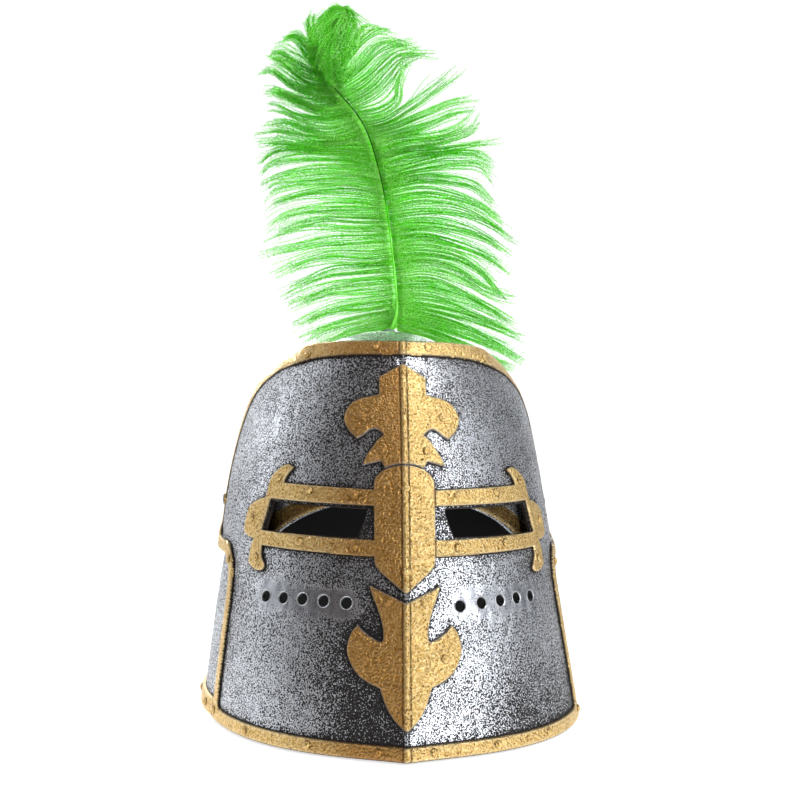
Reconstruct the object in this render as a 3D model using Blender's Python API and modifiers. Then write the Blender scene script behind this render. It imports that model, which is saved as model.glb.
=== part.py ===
"""Great helm with a hinged visor, gold trims and an ostrich plume.

The skull is a conical shell under a dome, open at the face.  The visor is a keeled plate that
turns on two rivets at the temples.  Trims follow the visor's own surface 0.3 mm outside it.
Lengths in tables are millimetres; MM turns them to metres.  X is the wearer's left, the face
looks along -Y, Z is up, and the rim stands on Z = 0.
"""
import math

import bmesh
import bpy
import numpy as np
from mathutils import Matrix, Vector

MM = 0.001

# Driving dimensions, millimetres
TEMPLE_Y = 21.9          # widest section, measured from the middle of the whole helm
WALL = 2.0               # skull and visor wall
GAP = 0.3                # clearance between neighbouring pieces
TRIM = 1.5               # relief of the gold trims
VISOR_BACK = 110.0       # half depth of the visor's section behind the temples
KEEL_HEIGHT = 14.2       # keel at the rim, half of it is left at the visor's top
KEEL_SPREAD = 31.8
SKEW = 5.5               # the visor's rim sits this much to +X at its rear corners
SKEW_END = 130.0         # height where the skew has died out
VISOR_TOP = 219.8
VISOR_RIM = 0.5

DOME_Z = 118.0           # height where the dome begins
DOME_HALF_WIDTH = 92.5
DOME_FRONT = 107.0
DOME_BACK = 108.0
DOME_RISE = 108.0

HINGE_Y = -5.2           # from the widest section
HINGE_Z = 122.0
PIN_RADIUS = 1.6
PIN_HOLE = 2.1
HEAD_RADIUS = 3.4
HEAD_SEAT = 100.1        # half distance between the flat seats under the rivet heads
SEAT_RADIUS = 3.9
SEAT_DEPTH = 1.2
BOSS_RADIUS = 5.0
BOSS_INNER = 92.8        # half distance between the inner faces of the visor's bosses
BOSS_LENGTH = 3.8
TAIL_INNER = 88.9        # half distance between the inner heads' faces to the skull

RIVET_RADIUS = 2.4
RIVET_HEIGHT = 1.3
HOLE_RADIUS = 3.15
HOLE_HEIGHT = 78.0
HEM_HEIGHT = 10.0
HEM_FRONT_Y = -57.0      # the skull's hem band ends here, behind the visor's rear edge

SOCKET_BEHIND = 48.0     # plume socket, behind the widest section
SOCKET_RADIUS = 5.2
SOCKET_FLANGE = 9.0
SOCKET_LENGTH = 12.0
SOCKET_BORE = 2.7
SOCKET_FLOOR = 3.0
QUILL_RADIUS = 2.3

# The visor's level sections
# height, half width, front depth from the widest section, fullness of the curve
VISOR_SECTIONS = (
    (0.0, 112.5, 139.5, 2.30),
    (70.0, 104.6, 124.6, 2.16),
    (105.0, 100.2, 115.6, 2.08),
    (140.0, 94.8, 106.6, 2.01),
    (173.0, 87.4, 95.0, 1.95),
    (190.0, 81.4, 88.0, 1.91),
    (207.0, 70.6, 81.5, 1.88),
    (224.0, 56.0, 76.0, 1.85),
)

# The skull's level sections below the dome
# height, half width, front depth, back depth, fullness of the front
SKULL_SECTIONS = (
    (0.0, 109.0, 113.0, 110.0, 2.30),
    (30.0, 105.5, 112.0, 110.0, 2.25),
    (60.0, 102.0, 111.0, 110.0, 2.15),
    (85.0, 98.4, 109.6, 109.5, 2.08),
    (104.0, 94.8, 108.0, 109.0, 2.00),
    (118.0, DOME_HALF_WIDTH, DOME_FRONT, DOME_BACK, 2.00),
)

CORNER = 0
SMOOTH = 1

# Visor outline seen from the side
# y from the widest section, height, kind of point
VISOR_PROFILE = (
    (-175.0, VISOR_RIM, CORNER),
    (-175.0, VISOR_TOP, CORNER),
    (-83.0, VISOR_TOP, CORNER),
    (-68.0, 219.2, SMOOTH),
    (-46.0, 216.6, SMOOTH),
    (-32.0, 211.3, SMOOTH),
    (-20.0, 201.0, SMOOTH),
    (-11.5, 187.0, SMOOTH),
    (-5.0, 165.0, SMOOTH),
    (-1.3, 140.0, SMOOTH),
    (-1.3, 104.0, SMOOTH),
    (-7.5, 94.0, SMOOTH),
    (-20.0, 93.5, SMOOTH),
    (-40.0, 93.0, SMOOTH),
    (-52.0, 85.5, SMOOTH),
    (-57.5, 68.0, SMOOTH),
    (-60.0, 40.0, SMOOTH),
    (-63.3, VISOR_RIM, CORNER),
)

# Inner edge of the gold border, seen from the side
BORDER_INNER = (
    (-180.0, 8.5, CORNER),
    (-180.0, 211.9, CORNER),
    (-83.0, 211.9, CORNER),
    (-60.0, 210.9, SMOOTH),
    (-48.0, 206.4, SMOOTH),
    (-34.0, 201.0, SMOOTH),
    (-22.0, 187.5, SMOOTH),
    (-14.5, 166.0, SMOOTH),
    (-9.6, 140.0, SMOOTH),
    (-9.2, 112.0, SMOOTH),
    (-13.0, 102.6, SMOOTH),
    (-24.0, 101.2, SMOOTH),
    (-43.0, 101.0, SMOOTH),
    (-55.0, 94.0, SMOOTH),
    (-63.0, 74.0, SMOOTH),
    (-66.5, 40.0, SMOOTH),
    (-70.5, 8.5, CORNER),
)

# Right half of each ornament on the keel, seen from the front, top to bottom
# across, height, kind of point
BROW_HALF = (
    (0.0, 206.9, CORNER),
    (12.8, 199.3, CORNER),
    (12.9, 190.0, CORNER),
    (21.5, 187.9, SMOOTH),
    (29.2, 182.8, SMOOTH),
    (31.6, 175.0, SMOOTH),
    (25.1, 165.5, CORNER),
    (18.5, 170.1, SMOOTH),
    (11.2, 168.4, CORNER),
    (17.2, 161.0, SMOOTH),
    (22.8, 151.3, CORNER),
    (11.8, 153.9, CORNER),
    (10.3, 150.4, CORNER),
    (0.0, 152.8, CORNER),
)
NASAL_HALF = (
    (0.0, 152.3, CORNER),
    (6.5, 151.2, SMOOTH),
    (12.6, 148.2, SMOOTH),
    (16.4, 139.5, CORNER),
    (16.2, 101.2, CORNER),
    (9.0, 93.8, SMOOTH),
    (0.0, 86.3, CORNER),
)
CHIN_HALF = (
    (0.0, 81.3, CORNER),
    (8.5, 84.2, SMOOTH),
    (19.0, 89.0, CORNER),
    (15.4, 78.0, SMOOTH),
    (12.2, 67.0, SMOOTH),
    (12.7, 60.3, CORNER),
    (19.5, 63.2, SMOOTH),
    (24.9, 68.2, CORNER),
    (30.2, 58.5, SMOOTH),
    (28.4, 48.2, SMOOTH),
    (20.0, 39.4, SMOOTH),
    (13.4, 36.7, CORNER),
    (8.9, 25.5, SMOOTH),
    (0.0, 15.7, CORNER),
)
# Eye frame on the +X side and its slot
EYE_FRAME = (
    (16.8, 139.0, CORNER),
    (64.6, 139.5, CORNER),
    (59.4, 148.4, CORNER),
    (67.4, 146.9, SMOOTH),
    (74.6, 130.4, CORNER),
    (82.5, 125.2, SMOOTH),
    (86.2, 109.5, SMOOTH),
    (82.4, 105.6, CORNER),
    (83.4, 93.4, SMOOTH),
    (78.6, 89.8, SMOOTH),
    (75.0, 93.2, SMOOTH),
    (76.6, 103.8, CORNER),
    (16.5, 103.6, CORNER),
)
EYE_SLOT = (
    (21.9, 129.2, CORNER),
    (71.5, 128.8, CORNER),
    (76.3, 112.2, CORNER),
    (28.5, 113.2, SMOOTH),
    (25.6, 115.2, SMOOTH),
    (20.9, 127.4, SMOOTH),
)

# Rivets on each trim: across, height
BROW_RIVETS = ((21.6, 177.2), (-21.6, 177.2), (11.8, 159.5), (-11.8, 159.5))
NASAL_RIVETS = ((0.0, 140.0), (0.0, 96.4))
CHIN_RIVETS = ((9.3, 80.4), (-9.3, 80.4), (20.8, 51.0), (-20.8, 51.0), (0.0, 25.6))
EYE_RIVETS = ((51.4, 136.2), (27.8, 135.6), (68.0, 141.4), (81.8, 117.4),
              (56.5, 108.2), (27.8, 107.9), (79.4, 97.0))
RIM_RIVETS = ((14.4, 4.6), (50.7, 4.6), (83.0, 4.6), (-14.4, 4.6), (-50.7, 4.6), (-83.0, 4.6))
TOP_RIVETS = ((14.2, 215.9), (-14.2, 215.9), (50.4, 209.3), (-50.4, 209.3))
BREATH_HOLES = (31.1, 43.4, 55.0, 65.5, 74.9)

# Face opening of the skull, an arch on two straight sides
FACE_HALF_WIDTH = 82.0
FACE_CROWN = 134.5
FACE_SPRING = 80.0
FACE_BAND = 9.0

# Plume: the spine's run, and how wide the vane is there
# across, y from the widest section, height, vane to -X, vane to +X
PLUME_SPINE = (
    (5.0, 51.0, 218.0, 4.0, 4.0),
    (3.0, 62.0, 250.0, 66.0, 74.0),
    (0.0, 71.0, 285.0, 74.0, 80.0),
    (-5.0, 76.0, 325.0, 72.0, 74.0),
    (-15.0, 74.0, 360.0, 62.0, 80.0),
    (-27.0, 64.0, 392.0, 42.0, 74.0),
    (-33.0, 46.0, 418.0, 24.0, 50.0),
    (-33.0, 24.0, 427.0, 14.0, 30.0),
    (-31.0, 4.0, 414.0, 8.0, 14.0),
)
LOCKS_EACH_SIDE = 8
FIRST_LOCK = 0.11        # share of the spine that stays bare above the socket
LOCK_HALF_WIDTH = 15.0
TIP_HALF_WIDTH = 9.0
LOCK_FLATNESS = 0.42     # thickness of a lock over its width
LOCK_STATIONS = (0.0, 0.3, 0.6, 0.85, 1.0)
LOCK_TAPER = (0.75, 1.0, 1.0, 0.8, 0.15)

# Finishes: colour, metallic, roughness
SILVER = ((0.34, 0.35, 0.37), 0.85, 0.45)
GOLD = ((0.60, 0.38, 0.12), 0.8, 0.42)
STEEL = ((0.30, 0.31, 0.33), 0.9, 0.4)
GREEN = ((0.05, 0.42, 0.04), 0.0, 0.85)


def through(at, rows, column):
    """Smooth monotone curve through one column of a table, read at the given heights."""
    knots = np.array([row[0] for row in rows])
    values = np.array([row[column] for row in rows])
    step = np.diff(knots)
    slope = np.diff(values) / step
    tangent = np.empty_like(values)
    tangent[0] = slope[0]
    tangent[-1] = slope[-1]
    same_way = slope[:-1] * slope[1:] > 0
    mean = 2.0 * slope[:-1] * slope[1:] / np.where(same_way, slope[:-1] + slope[1:], 1.0)
    tangent[1:-1] = np.where(same_way, mean, 0.0)
    at = np.clip(at, knots[0], knots[-1])
    k = np.clip(np.searchsorted(knots, at, side="right") - 1, 0, len(step) - 1)
    t = (at - knots[k]) / step[k]
    return ((1 + 2 * t) * (1 - t) ** 2 * values[k] + t * (1 - t) ** 2 * step[k] * tangent[k]
            + t * t * (3 - 2 * t) * values[k + 1] - t * t * (1 - t) * step[k] * tangent[k + 1])


def visor_surface(angle, height):
    """Points on the visor; angle runs from the keel at 0, past the temple at a quarter turn."""
    width = through(height, VISOR_SECTIONS, 1)
    front = through(height, VISOR_SECTIONS, 2)
    full = through(height, VISOR_SECTIONS, 3)
    x = width * np.sin(angle)
    ahead = front * (1.0 - np.abs(np.sin(angle)) ** full) ** (1.0 / full)
    behind = -VISOR_BACK * np.abs(np.cos(angle))
    y = TEMPLE_Y - np.where(np.abs(angle) <= math.pi / 2, ahead, behind)
    y = y - KEEL_HEIGHT * (1.0 - 0.5 * height / 220.0) * np.exp(-np.abs(x) / KEEL_SPREAD)
    fade = np.clip(1.0 - height / SKEW_END, 0.0, 1.0)
    return np.stack([x + SKEW * fade * (x / 112.0) ** 2, y, height + 0.0 * x], axis=-1)


def skull_surface(angle, height):
    """Points on the skull; angle is a full turn with the face at 0.  The dome is an ellipsoid."""
    low = np.minimum(height, DOME_Z)
    width = through(low, SKULL_SECTIONS, 1)
    front = through(low, SKULL_SECTIONS, 2)
    back = through(low, SKULL_SECTIONS, 3)
    full = through(low, SKULL_SECTIONS, 4)
    shrink = np.sqrt(np.clip(1.0 - (np.maximum(height - DOME_Z, 0.0) / DOME_RISE) ** 2, 0.0, 1.0))
    x = width * np.sin(angle)
    ahead = front * (1.0 - np.abs(np.sin(angle)) ** full) ** (1.0 / full)
    behind = -back * np.abs(np.cos(angle))
    y = np.where(np.cos(angle) >= 0.0, -ahead, -behind) * shrink
    return np.stack([x * shrink, y + TEMPLE_Y, height + 0.0 * x], axis=-1)


def grid_normals(points):
    """Unit normals of a grid of points, pointing out of the helm."""
    along = np.gradient(points, axis=1)
    up = np.gradient(points, axis=0)
    normal = np.cross(along, up)
    length = np.linalg.norm(normal, axis=-1, keepdims=True)
    return normal / np.maximum(length, 1e-9)


def grid_faces(rows, columns, closed):
    """Quads of a grid, wound so that they face outwards."""
    faces = []
    for r in range(rows - 1):
        for c in range(columns if closed else columns - 1):
            d = (c + 1) % columns
            faces.append((r * columns + c, r * columns + d, (r + 1) * columns + d, (r + 1) * columns + c))
    return faces


def new_object(name, vertices, faces, parent, finish):
    """A mesh object in the helm's collection, its vertices given in millimetres."""
    mesh = bpy.data.meshes.new(name)
    mesh.from_pydata([tuple(v) for v in np.asarray(vertices) * MM], [], faces)
    mesh.update()
    obj = bpy.data.objects.new(name, mesh)
    HELM.objects.link(obj)
    hang(obj, parent)
    if finish is not None:
        obj.data.materials.append(material(name, finish))
    return obj


def material(name, finish):
    """A Principled material in the piece's own colour."""
    colour, metallic, roughness = finish
    made = bpy.data.materials.new(name)
    made.use_nodes = True
    shader = made.node_tree.nodes["Principled BSDF"]
    shader.inputs["Base Color"].default_value = (*colour, 1.0)
    shader.inputs["Metallic"].default_value = metallic
    shader.inputs["Roughness"].default_value = roughness
    return made


def hang(obj, parent):
    """Parent an object without moving it."""
    if parent is not None:
        obj.parent = parent
        obj.matrix_parent_inverse = Matrix.Translation(-parent.location)


def make_cutter(obj):
    """Move an object to the cutters and keep it out of the model."""
    for collection in list(obj.users_collection):
        collection.objects.unlink(obj)
    CUTTERS.objects.link(obj)
    obj.hide_render = True
    obj.display_type = 'WIRE'
    return obj


def combine(obj, cutter, operation, solver='EXACT'):
    """Boolean modifier on an object."""
    modifier = obj.modifiers.new(operation.lower(), 'BOOLEAN')
    modifier.operation = operation
    modifier.solver = solver
    modifier.object = cutter


def thicken(obj, thickness, outwards):
    """Give an open surface a wall."""
    modifier = obj.modifiers.new("wall", 'SOLIDIFY')
    modifier.thickness = thickness * MM
    modifier.offset = 1.0 if outwards else -1.0
    modifier.use_even_offset = True


def smooth_loop(rows, steps=1):
    """Points of an outline: straight between corners, a cubic through the smooth points."""
    points = np.array([row[:2] for row in rows], dtype=float)
    kinds = [row[2] for row in rows]
    count = len(rows)
    made = []
    for i in range(count):
        j = (i + 1) % count
        p, q = points[i], points[j]
        made.append(p)
        if kinds[i] == CORNER and kinds[j] == CORNER:
            continue
        before = points[i - 1] if kinds[i] == SMOOTH else 2 * p - q
        after = points[(j + 1) % count] if kinds[j] == SMOOTH else 2 * q - p
        for k in range(1, steps + 1):
            t = k / (steps + 1)
            made.append(0.5 * (2 * p + (q - before) * t + (2 * before - 5 * p + 4 * q - after) * t * t
                               + (3 * p - before - 3 * q + after) * t ** 3))
    return np.array(made)


def mirrored(half):
    """A whole outline from its right half, which starts and ends on the keel."""
    whole = list(half)
    for across, height, kind in reversed(half[1:-1]):
        whole.append((-across, height, kind))
    return tuple(whole)


def flipped(rows):
    """The same outline on the other side of the keel."""
    return tuple((-row[0],) + tuple(row[1:]) for row in reversed(rows))


def prism(name, outline, near, far, axis):
    """Closed prism of an outline, as a mesh cutter, along X or along Y between two places."""
    flat = bpy.data.curves.new(name, 'CURVE')
    flat.dimensions = '2D'
    flat.fill_mode = 'BOTH'
    flat.extrude = 0.5 * (far - near) * MM
    spline = flat.splines.new('POLY')
    spline.points.add(len(outline) - 1)
    for point, (a, b) in zip(spline.points, outline):
        point.co = (a * MM, b * MM, 0.0, 1.0)
    spline.use_cyclic_u = True
    drawn = bpy.data.objects.new(name, flat)
    bpy.context.scene.collection.objects.link(drawn)
    middle = 0.5 * (near + far) * MM
    if axis == 'Y':
        drawn.matrix_world = Matrix(((1, 0, 0, 0), (0, 0, -1, middle), (0, 1, 0, 0), (0, 0, 0, 1)))
    else:
        drawn.matrix_world = Matrix(((0, 0, 1, middle), (1, 0, 0, TEMPLE_Y * MM), (0, 1, 0, 0), (0, 0, 0, 1)))
    bpy.context.view_layer.update()
    solid = curve_to_mesh(drawn)
    return make_cutter(solid)


def curve_to_mesh(drawn):
    """Replace a curve object by its welded mesh."""
    graph = bpy.context.evaluated_depsgraph_get()
    mesh = bpy.data.meshes.new_from_object(drawn.evaluated_get(graph))
    work = bmesh.new()
    work.from_mesh(mesh)
    bmesh.ops.remove_doubles(work, verts=work.verts, dist=1e-6)
    work.to_mesh(mesh)
    work.free()
    solid = bpy.data.objects.new(drawn.name, mesh)
    bpy.context.scene.collection.objects.link(solid)
    solid.matrix_world = drawn.matrix_world
    bpy.data.objects.remove(drawn)
    return solid


def turned(name, sections, places, sides):
    """One mesh of equal round solids, each along its own axis.

    sections: rows of distance along the axis and radius.  places: rows of centre and axis.
    """
    vertices = []
    faces = []
    turn = (np.arange(sides) + 0.4) * 2 * math.pi / sides
    for centre, axis in places:
        axis = np.asarray(axis) / np.linalg.norm(axis)
        side = np.cross(axis, (0.0, 0.0, 1.0) if abs(axis[2]) < 0.9 else (1.0, 0.0, 0.0))
        side = side / np.linalg.norm(side)
        other = np.cross(axis, side)
        base = len(vertices)
        for along, radius in sections:
            ring = (np.asarray(centre) + axis * along
                    + radius * (np.cos(turn)[:, None] * side + np.sin(turn)[:, None] * other))
            vertices.extend(ring)
        for r in range(len(sections) - 1):
            for c in range(sides):
                d = (c + 1) % sides
                low = base + r * sides
                faces.append((low + c, low + d, low + sides + d, low + sides + c))
        faces.append(tuple(base + c for c in reversed(range(sides))))
        top = base + (len(sections) - 1) * sides
        faces.append(tuple(top + c for c in range(sides)))
    mesh = bpy.data.meshes.new(name)
    mesh.from_pydata([tuple(np.asarray(v) * MM) for v in vertices], [], faces)
    mesh.update()
    obj = bpy.data.objects.new(name, mesh)
    bpy.context.scene.collection.objects.link(obj)
    return obj


def visor_at(across, height):
    """Point and outward normal on the visor at a place seen from the front."""
    reach = 0.5
    def place(x, z):
        width = through(np.array(z), VISOR_SECTIONS, 1)
        straight = x
        for _ in range(4):
            fade = max(0.0, 1.0 - z / SKEW_END)
            straight = x - SKEW * fade * (straight / 112.0) ** 2
        angle = np.arcsin(np.clip(straight / width, -1.0, 1.0))
        return visor_surface(np.array(angle), np.array(float(z)))
    if abs(across) < 1.0:
        rise = place(0.0, height + reach) - place(0.0, height - reach)
        normal = np.cross((1.0, 0.0, 0.0), rise)
    else:
        run = place(across + reach, height) - place(across - reach, height)
        rise = place(across, height + reach) - place(across, height - reach)
        normal = np.cross(run, rise)
    return place(across, height), normal / np.linalg.norm(normal)


def visor_side_at(y, height, side):
    """Point and outward normal on the visor's side at a place seen from the side."""
    angles = np.linspace(0.0, math.pi / 2, 2000) * side
    run = visor_surface(angles, np.full_like(angles, height))
    nearest = int(np.argmin(np.abs(run[:, 1] - TEMPLE_Y - y)))
    nearest = min(max(nearest, 1), len(angles) - 2)
    along = (run[nearest + 1] - run[nearest - 1]) * side
    above = visor_surface(angles, np.full_like(angles, height + 1.0))[nearest]
    normal = np.cross(along, above - run[nearest])
    return run[nearest], normal / np.linalg.norm(normal)


VISOR_COLUMNS = 26
VISOR_REACH = math.radians(97.0)
VISOR_HEIGHTS = (-1.0, 20.0, 41.0, 62.0, 83.0, 104.0, 125.0, 145.0, 163.0, 179.0, 192.0, 203.0, 212.0, 223.0)


def visor_sheet(name, offset, parent, finish):
    """Open sheet a set distance outside the visor's surface."""
    angles = np.linspace(-VISOR_REACH, VISOR_REACH, VISOR_COLUMNS + 1)
    heights = np.array(VISOR_HEIGHTS)
    a, z = np.meshgrid(angles, heights)
    points = visor_surface(a, z)
    points = points + offset * grid_normals(points)
    faces = grid_faces(len(heights), len(angles), False)
    return new_object(name, points.reshape(-1, 3), faces, parent, finish)


def rivet_set(name, places):
    """Low domed rivets standing on the trims."""
    seat = GAP + TRIM
    sections = ((seat - 0.9, RIVET_RADIUS), (seat + 0.3 * RIVET_HEIGHT, RIVET_RADIUS * 0.95),
                (seat + RIVET_HEIGHT, RIVET_RADIUS * 0.5))
    return make_cutter(turned(name, sections, places, 6))


def build_visor_trim(name, outline, rivets, hole=None):
    """Raised gold ornament that follows the visor, cut to an outline seen from the front."""
    trim = visor_sheet(name, GAP, HINGE, GOLD)
    thicken(trim, TRIM, True)
    shape = prism(name + "_outline", smooth_loop(outline), -200.0, TEMPLE_Y - 2.0, 'Y')
    combine(trim, shape, 'INTERSECT', 'MANIFOLD')
    if hole is not None:
        opening = prism(name + "_opening", smooth_loop(hole), -200.0, TEMPLE_Y, 'Y')
        combine(trim, opening, 'DIFFERENCE', 'MANIFOLD')
    studs = rivet_set(name + "_rivets", [visor_at(x, z) for x, z in rivets])
    combine(trim, studs, 'UNION', 'MANIFOLD')


def hinge_places(start):
    """Centres and outward axes of the two pivots, starting at a half distance."""
    y = TEMPLE_Y + HINGE_Y
    return [((side * start, y, HINGE_Z), (side, 0.0, 0.0)) for side in (-1.0, 1.0)]


def build_visor_plate():
    """The keeled face plate with its eye slots, breath holes and pivot bosses."""
    plate = visor_sheet("visor_plate", 0.0, HINGE, SILVER)
    thicken(plate, WALL, False)
    combine(plate, prism("visor_profile", smooth_loop(VISOR_PROFILE), -130.0, 130.0, 'X'), 'INTERSECT')
    sections = ((0.0, BOSS_RADIUS), (BOSS_LENGTH, BOSS_RADIUS))
    bosses = turned("visor_bosses", sections, hinge_places(BOSS_INNER), 16)
    combine(plate, make_cutter(bosses), 'UNION')
    for side, rows in (("left", EYE_SLOT), ("right", flipped(EYE_SLOT))):
        cutter = prism("eye_slot_" + side, smooth_loop(rows), -200.0, TEMPLE_Y - 20.0, 'Y')
        combine(plate, cutter, 'DIFFERENCE')
    places = [visor_at(side * x, HOLE_HEIGHT) for x in BREATH_HOLES for side in (-1.0, 1.0)]
    holes = turned("breath_holes", ((-6.0, HOLE_RADIUS), (6.0, HOLE_RADIUS)), places, 10)
    combine(plate, make_cutter(holes), 'DIFFERENCE')
    combine(plate, PIN_BORES, 'DIFFERENCE')


def build_visor_border():
    """Gold band all round the visor, with rivets and the flat seats under the pivot heads."""
    border = visor_sheet("visor_border", GAP, HINGE, GOLD)
    thicken(border, TRIM, True)
    outside = prism("border_outside", smooth_loop(VISOR_PROFILE), -130.0, 130.0, 'X')
    combine(border, outside, 'INTERSECT', 'MANIFOLD')
    inside = prism("border_inside", smooth_loop(BORDER_INNER), -131.0, 131.0, 'X')
    combine(border, inside, 'DIFFERENCE', 'MANIFOLD')
    sections = ((0.0, SEAT_RADIUS), (SEAT_DEPTH, SEAT_RADIUS))
    seats = turned("pivot_seats", sections, hinge_places(HEAD_SEAT - SEAT_DEPTH), 16)
    combine(border, make_cutter(seats), 'UNION', 'MANIFOLD')
    places = [visor_at(x, z) for x, z in RIM_RIVETS + TOP_RIVETS]
    for side in (-1.0, 1.0):
        places.append(visor_side_at(-51.5, 91.5, side))
        places.append(visor_side_at(-67.0, 6.5, side))
    combine(border, rivet_set("border_rivets", places), 'UNION', 'MANIFOLD')
    combine(border, PIN_BORES, 'DIFFERENCE', 'MANIFOLD')


SKULL_COLUMNS = 36
SKULL_HEIGHTS = (-6.0, 32.0, 62.0, 90.0, 118.0, 139.0, 159.0, 177.0, 193.0, 207.0, 217.0, 223.8)


def skull_grid(heights, offset, first=0, count=SKULL_COLUMNS):
    """Grid of points a set distance outside the skull, over a run of its columns."""
    angles = np.arange(SKULL_COLUMNS) * 2 * math.pi / SKULL_COLUMNS
    a, z = np.meshgrid(angles, np.array(heights))
    points = skull_surface(a, z)
    ring = np.concatenate([points[:, -1:], points, points[:, :1]], axis=1)
    points = points + offset * grid_normals(ring)[:, 1:-1]
    return points[:, np.arange(first, first + count) % SKULL_COLUMNS]


def face_arch(margin):
    """Outline of the face opening seen from the front, moved outwards by a margin."""
    half = FACE_HALF_WIDTH + margin
    rise = FACE_CROWN + margin - FACE_SPRING
    turn = np.linspace(math.pi, 0.0, 19)
    arch = [(half * math.cos(t), FACE_SPRING + rise * math.sin(t)) for t in turn]
    return np.array([(-half, -15.0)] + arch + [(half, -15.0)])


def build_skull_shell():
    """Back, sides and dome of the helm, open at the bottom and at the face."""
    points = skull_grid(SKULL_HEIGHTS, 0.0).reshape(-1, 3)
    apex = (0.0, TEMPLE_Y, DOME_Z + DOME_RISE)
    faces = grid_faces(len(SKULL_HEIGHTS), SKULL_COLUMNS, True)
    last = (len(SKULL_HEIGHTS) - 1) * SKULL_COLUMNS
    for c in range(SKULL_COLUMNS):
        faces.append((last + c, last + (c + 1) % SKULL_COLUMNS, len(points)))
    shell = new_object("skull_shell", np.vstack([points, apex]), faces, ROOT, SILVER)
    thicken(shell, WALL, False)
    combine(shell, PIN_BORES, 'DIFFERENCE')
    combine(shell, prism("face_opening", face_arch(0.0), -140.0, TEMPLE_Y - 20.0, 'Y'), 'DIFFERENCE')
    combine(shell, box("skull_under", (-140.0, -160.0, -20.0), (140.0, 160.0, 0.0)), 'DIFFERENCE')


def build_face_band():
    """Gold band round the face opening."""
    turn = SKULL_COLUMNS // 5
    heights = [z for z in SKULL_HEIGHTS if z < 160.0]
    points = skull_grid(heights, GAP, -turn, 2 * turn + 1)
    faces = grid_faces(len(heights), 2 * turn + 1, False)
    band = new_object("skull_face_band", points.reshape(-1, 3), faces, ROOT, GOLD)
    thicken(band, TRIM - 0.3, True)
    combine(band, prism("face_band_outside", face_arch(FACE_BAND), -140.0, TEMPLE_Y - 20.0, 'Y'), 'INTERSECT')
    combine(band, prism("face_band_inside", face_arch(0.5), -141.0, TEMPLE_Y - 19.0, 'Y'), 'DIFFERENCE')
    floor = box("face_band_floor", (-130.0, -150.0, -20.0), (130.0, 30.0, 12.0))
    combine(band, floor, 'DIFFERENCE')


def box(name, low, high):
    """Box-shaped cutter between two corners."""
    bpy.ops.mesh.primitive_cube_add(size=1.0)
    cube = bpy.context.object
    cube.name = name
    size = np.array(high) - np.array(low)
    cube.data.transform(Matrix.Diagonal((*(size * MM), 1.0)))
    cube.location = Vector((np.array(high) + np.array(low)) * 0.5 * MM)
    return make_cutter(cube)


def build_hem_band():
    """Gold band round the bottom of the skull, from one visor edge round to the other."""
    turn = SKULL_COLUMNS // 8
    columns = SKULL_COLUMNS - 2 * turn + 1
    points = skull_grid(SKULL_HEIGHTS[:3], GAP, turn, columns)
    band = new_object("skull_hem_band", points.reshape(-1, 3), grid_faces(3, columns, False), ROOT, GOLD)
    thicken(band, TRIM, True)
    front = box("hem_front", (-130.0, -200.0, -10.0), (130.0, TEMPLE_Y + HEM_FRONT_Y, 30.0))
    combine(band, front, 'DIFFERENCE')
    combine(band, box("hem_under", (-140.0, -200.0, -20.0), (140.0, 200.0, 0.0)), 'DIFFERENCE')
    combine(band, box("hem_above", (-140.0, -200.0, HEM_HEIGHT), (140.0, 200.0, 90.0)), 'DIFFERENCE')


def build_pivots():
    """Temple rivets: an outer head, a shank through visor and skull, and an inner head."""
    outer = HEAD_SEAT + GAP
    inner = TAIL_INNER
    sections = ((inner - 1.4, HEAD_RADIUS * 0.7), (inner - 1.0, HEAD_RADIUS), (inner, HEAD_RADIUS),
                (inner, PIN_RADIUS), (outer, PIN_RADIUS), (outer, HEAD_RADIUS), (outer + 0.5, HEAD_RADIUS),
                (outer + 1.1, HEAD_RADIUS * 0.6), (outer + 1.25, HEAD_RADIUS * 0.2))
    for name, place in zip(("pivot_right", "pivot_left"), hinge_places(0.0)):
        pin = turned(name, sections, [place], 12)
        bpy.context.scene.collection.objects.unlink(pin)
        HELM.objects.link(pin)
        hang(pin, ROOT)
        pin.data.materials.append(material(name, STEEL))


def socket_frame():
    """Point on the dome under the plume and the outward direction there."""
    y = SOCKET_BEHIND
    rise = DOME_RISE * math.sqrt(1.0 - (y / DOME_BACK) ** 2)
    normal = np.array((0.0, y / DOME_BACK ** 2, rise / DOME_RISE ** 2))
    return np.array((5.0, TEMPLE_Y + y, DOME_Z + rise)), normal / np.linalg.norm(normal)


def build_socket():
    """Flanged tube on the crown that holds the quill."""
    centre, axis = socket_frame()
    foot = GAP + 0.35
    sections = ((foot, SOCKET_FLANGE), (foot + 1.2, SOCKET_FLANGE), (foot + 1.8, SOCKET_RADIUS + 0.6),
                (foot + SOCKET_LENGTH, SOCKET_RADIUS))
    tube = turned("plume_socket", sections, [(centre, axis)], 16)
    bpy.context.scene.collection.objects.unlink(tube)
    HELM.objects.link(tube)
    hang(tube, ROOT)
    tube.data.materials.append(material("plume_socket", STEEL))
    depth = ((SOCKET_FLOOR, SOCKET_BORE), (SOCKET_LENGTH + 4.0, SOCKET_BORE))
    bore = turned("socket_bore", depth, [(centre, axis)], 12)
    combine(tube, make_cutter(bore), 'DIFFERENCE')


def plume_spine(t):
    """Point on the plume's spine and its two vane widths, t from 0 to 1."""
    rows = [(k / (len(PLUME_SPINE) - 1),) + row for k, row in enumerate(PLUME_SPINE)]
    values = np.array([through(np.asarray(t), rows, c) for c in range(1, 6)])
    return np.array((values[0], values[1] + TEMPLE_Y, values[2])), values[3], values[4]


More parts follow.
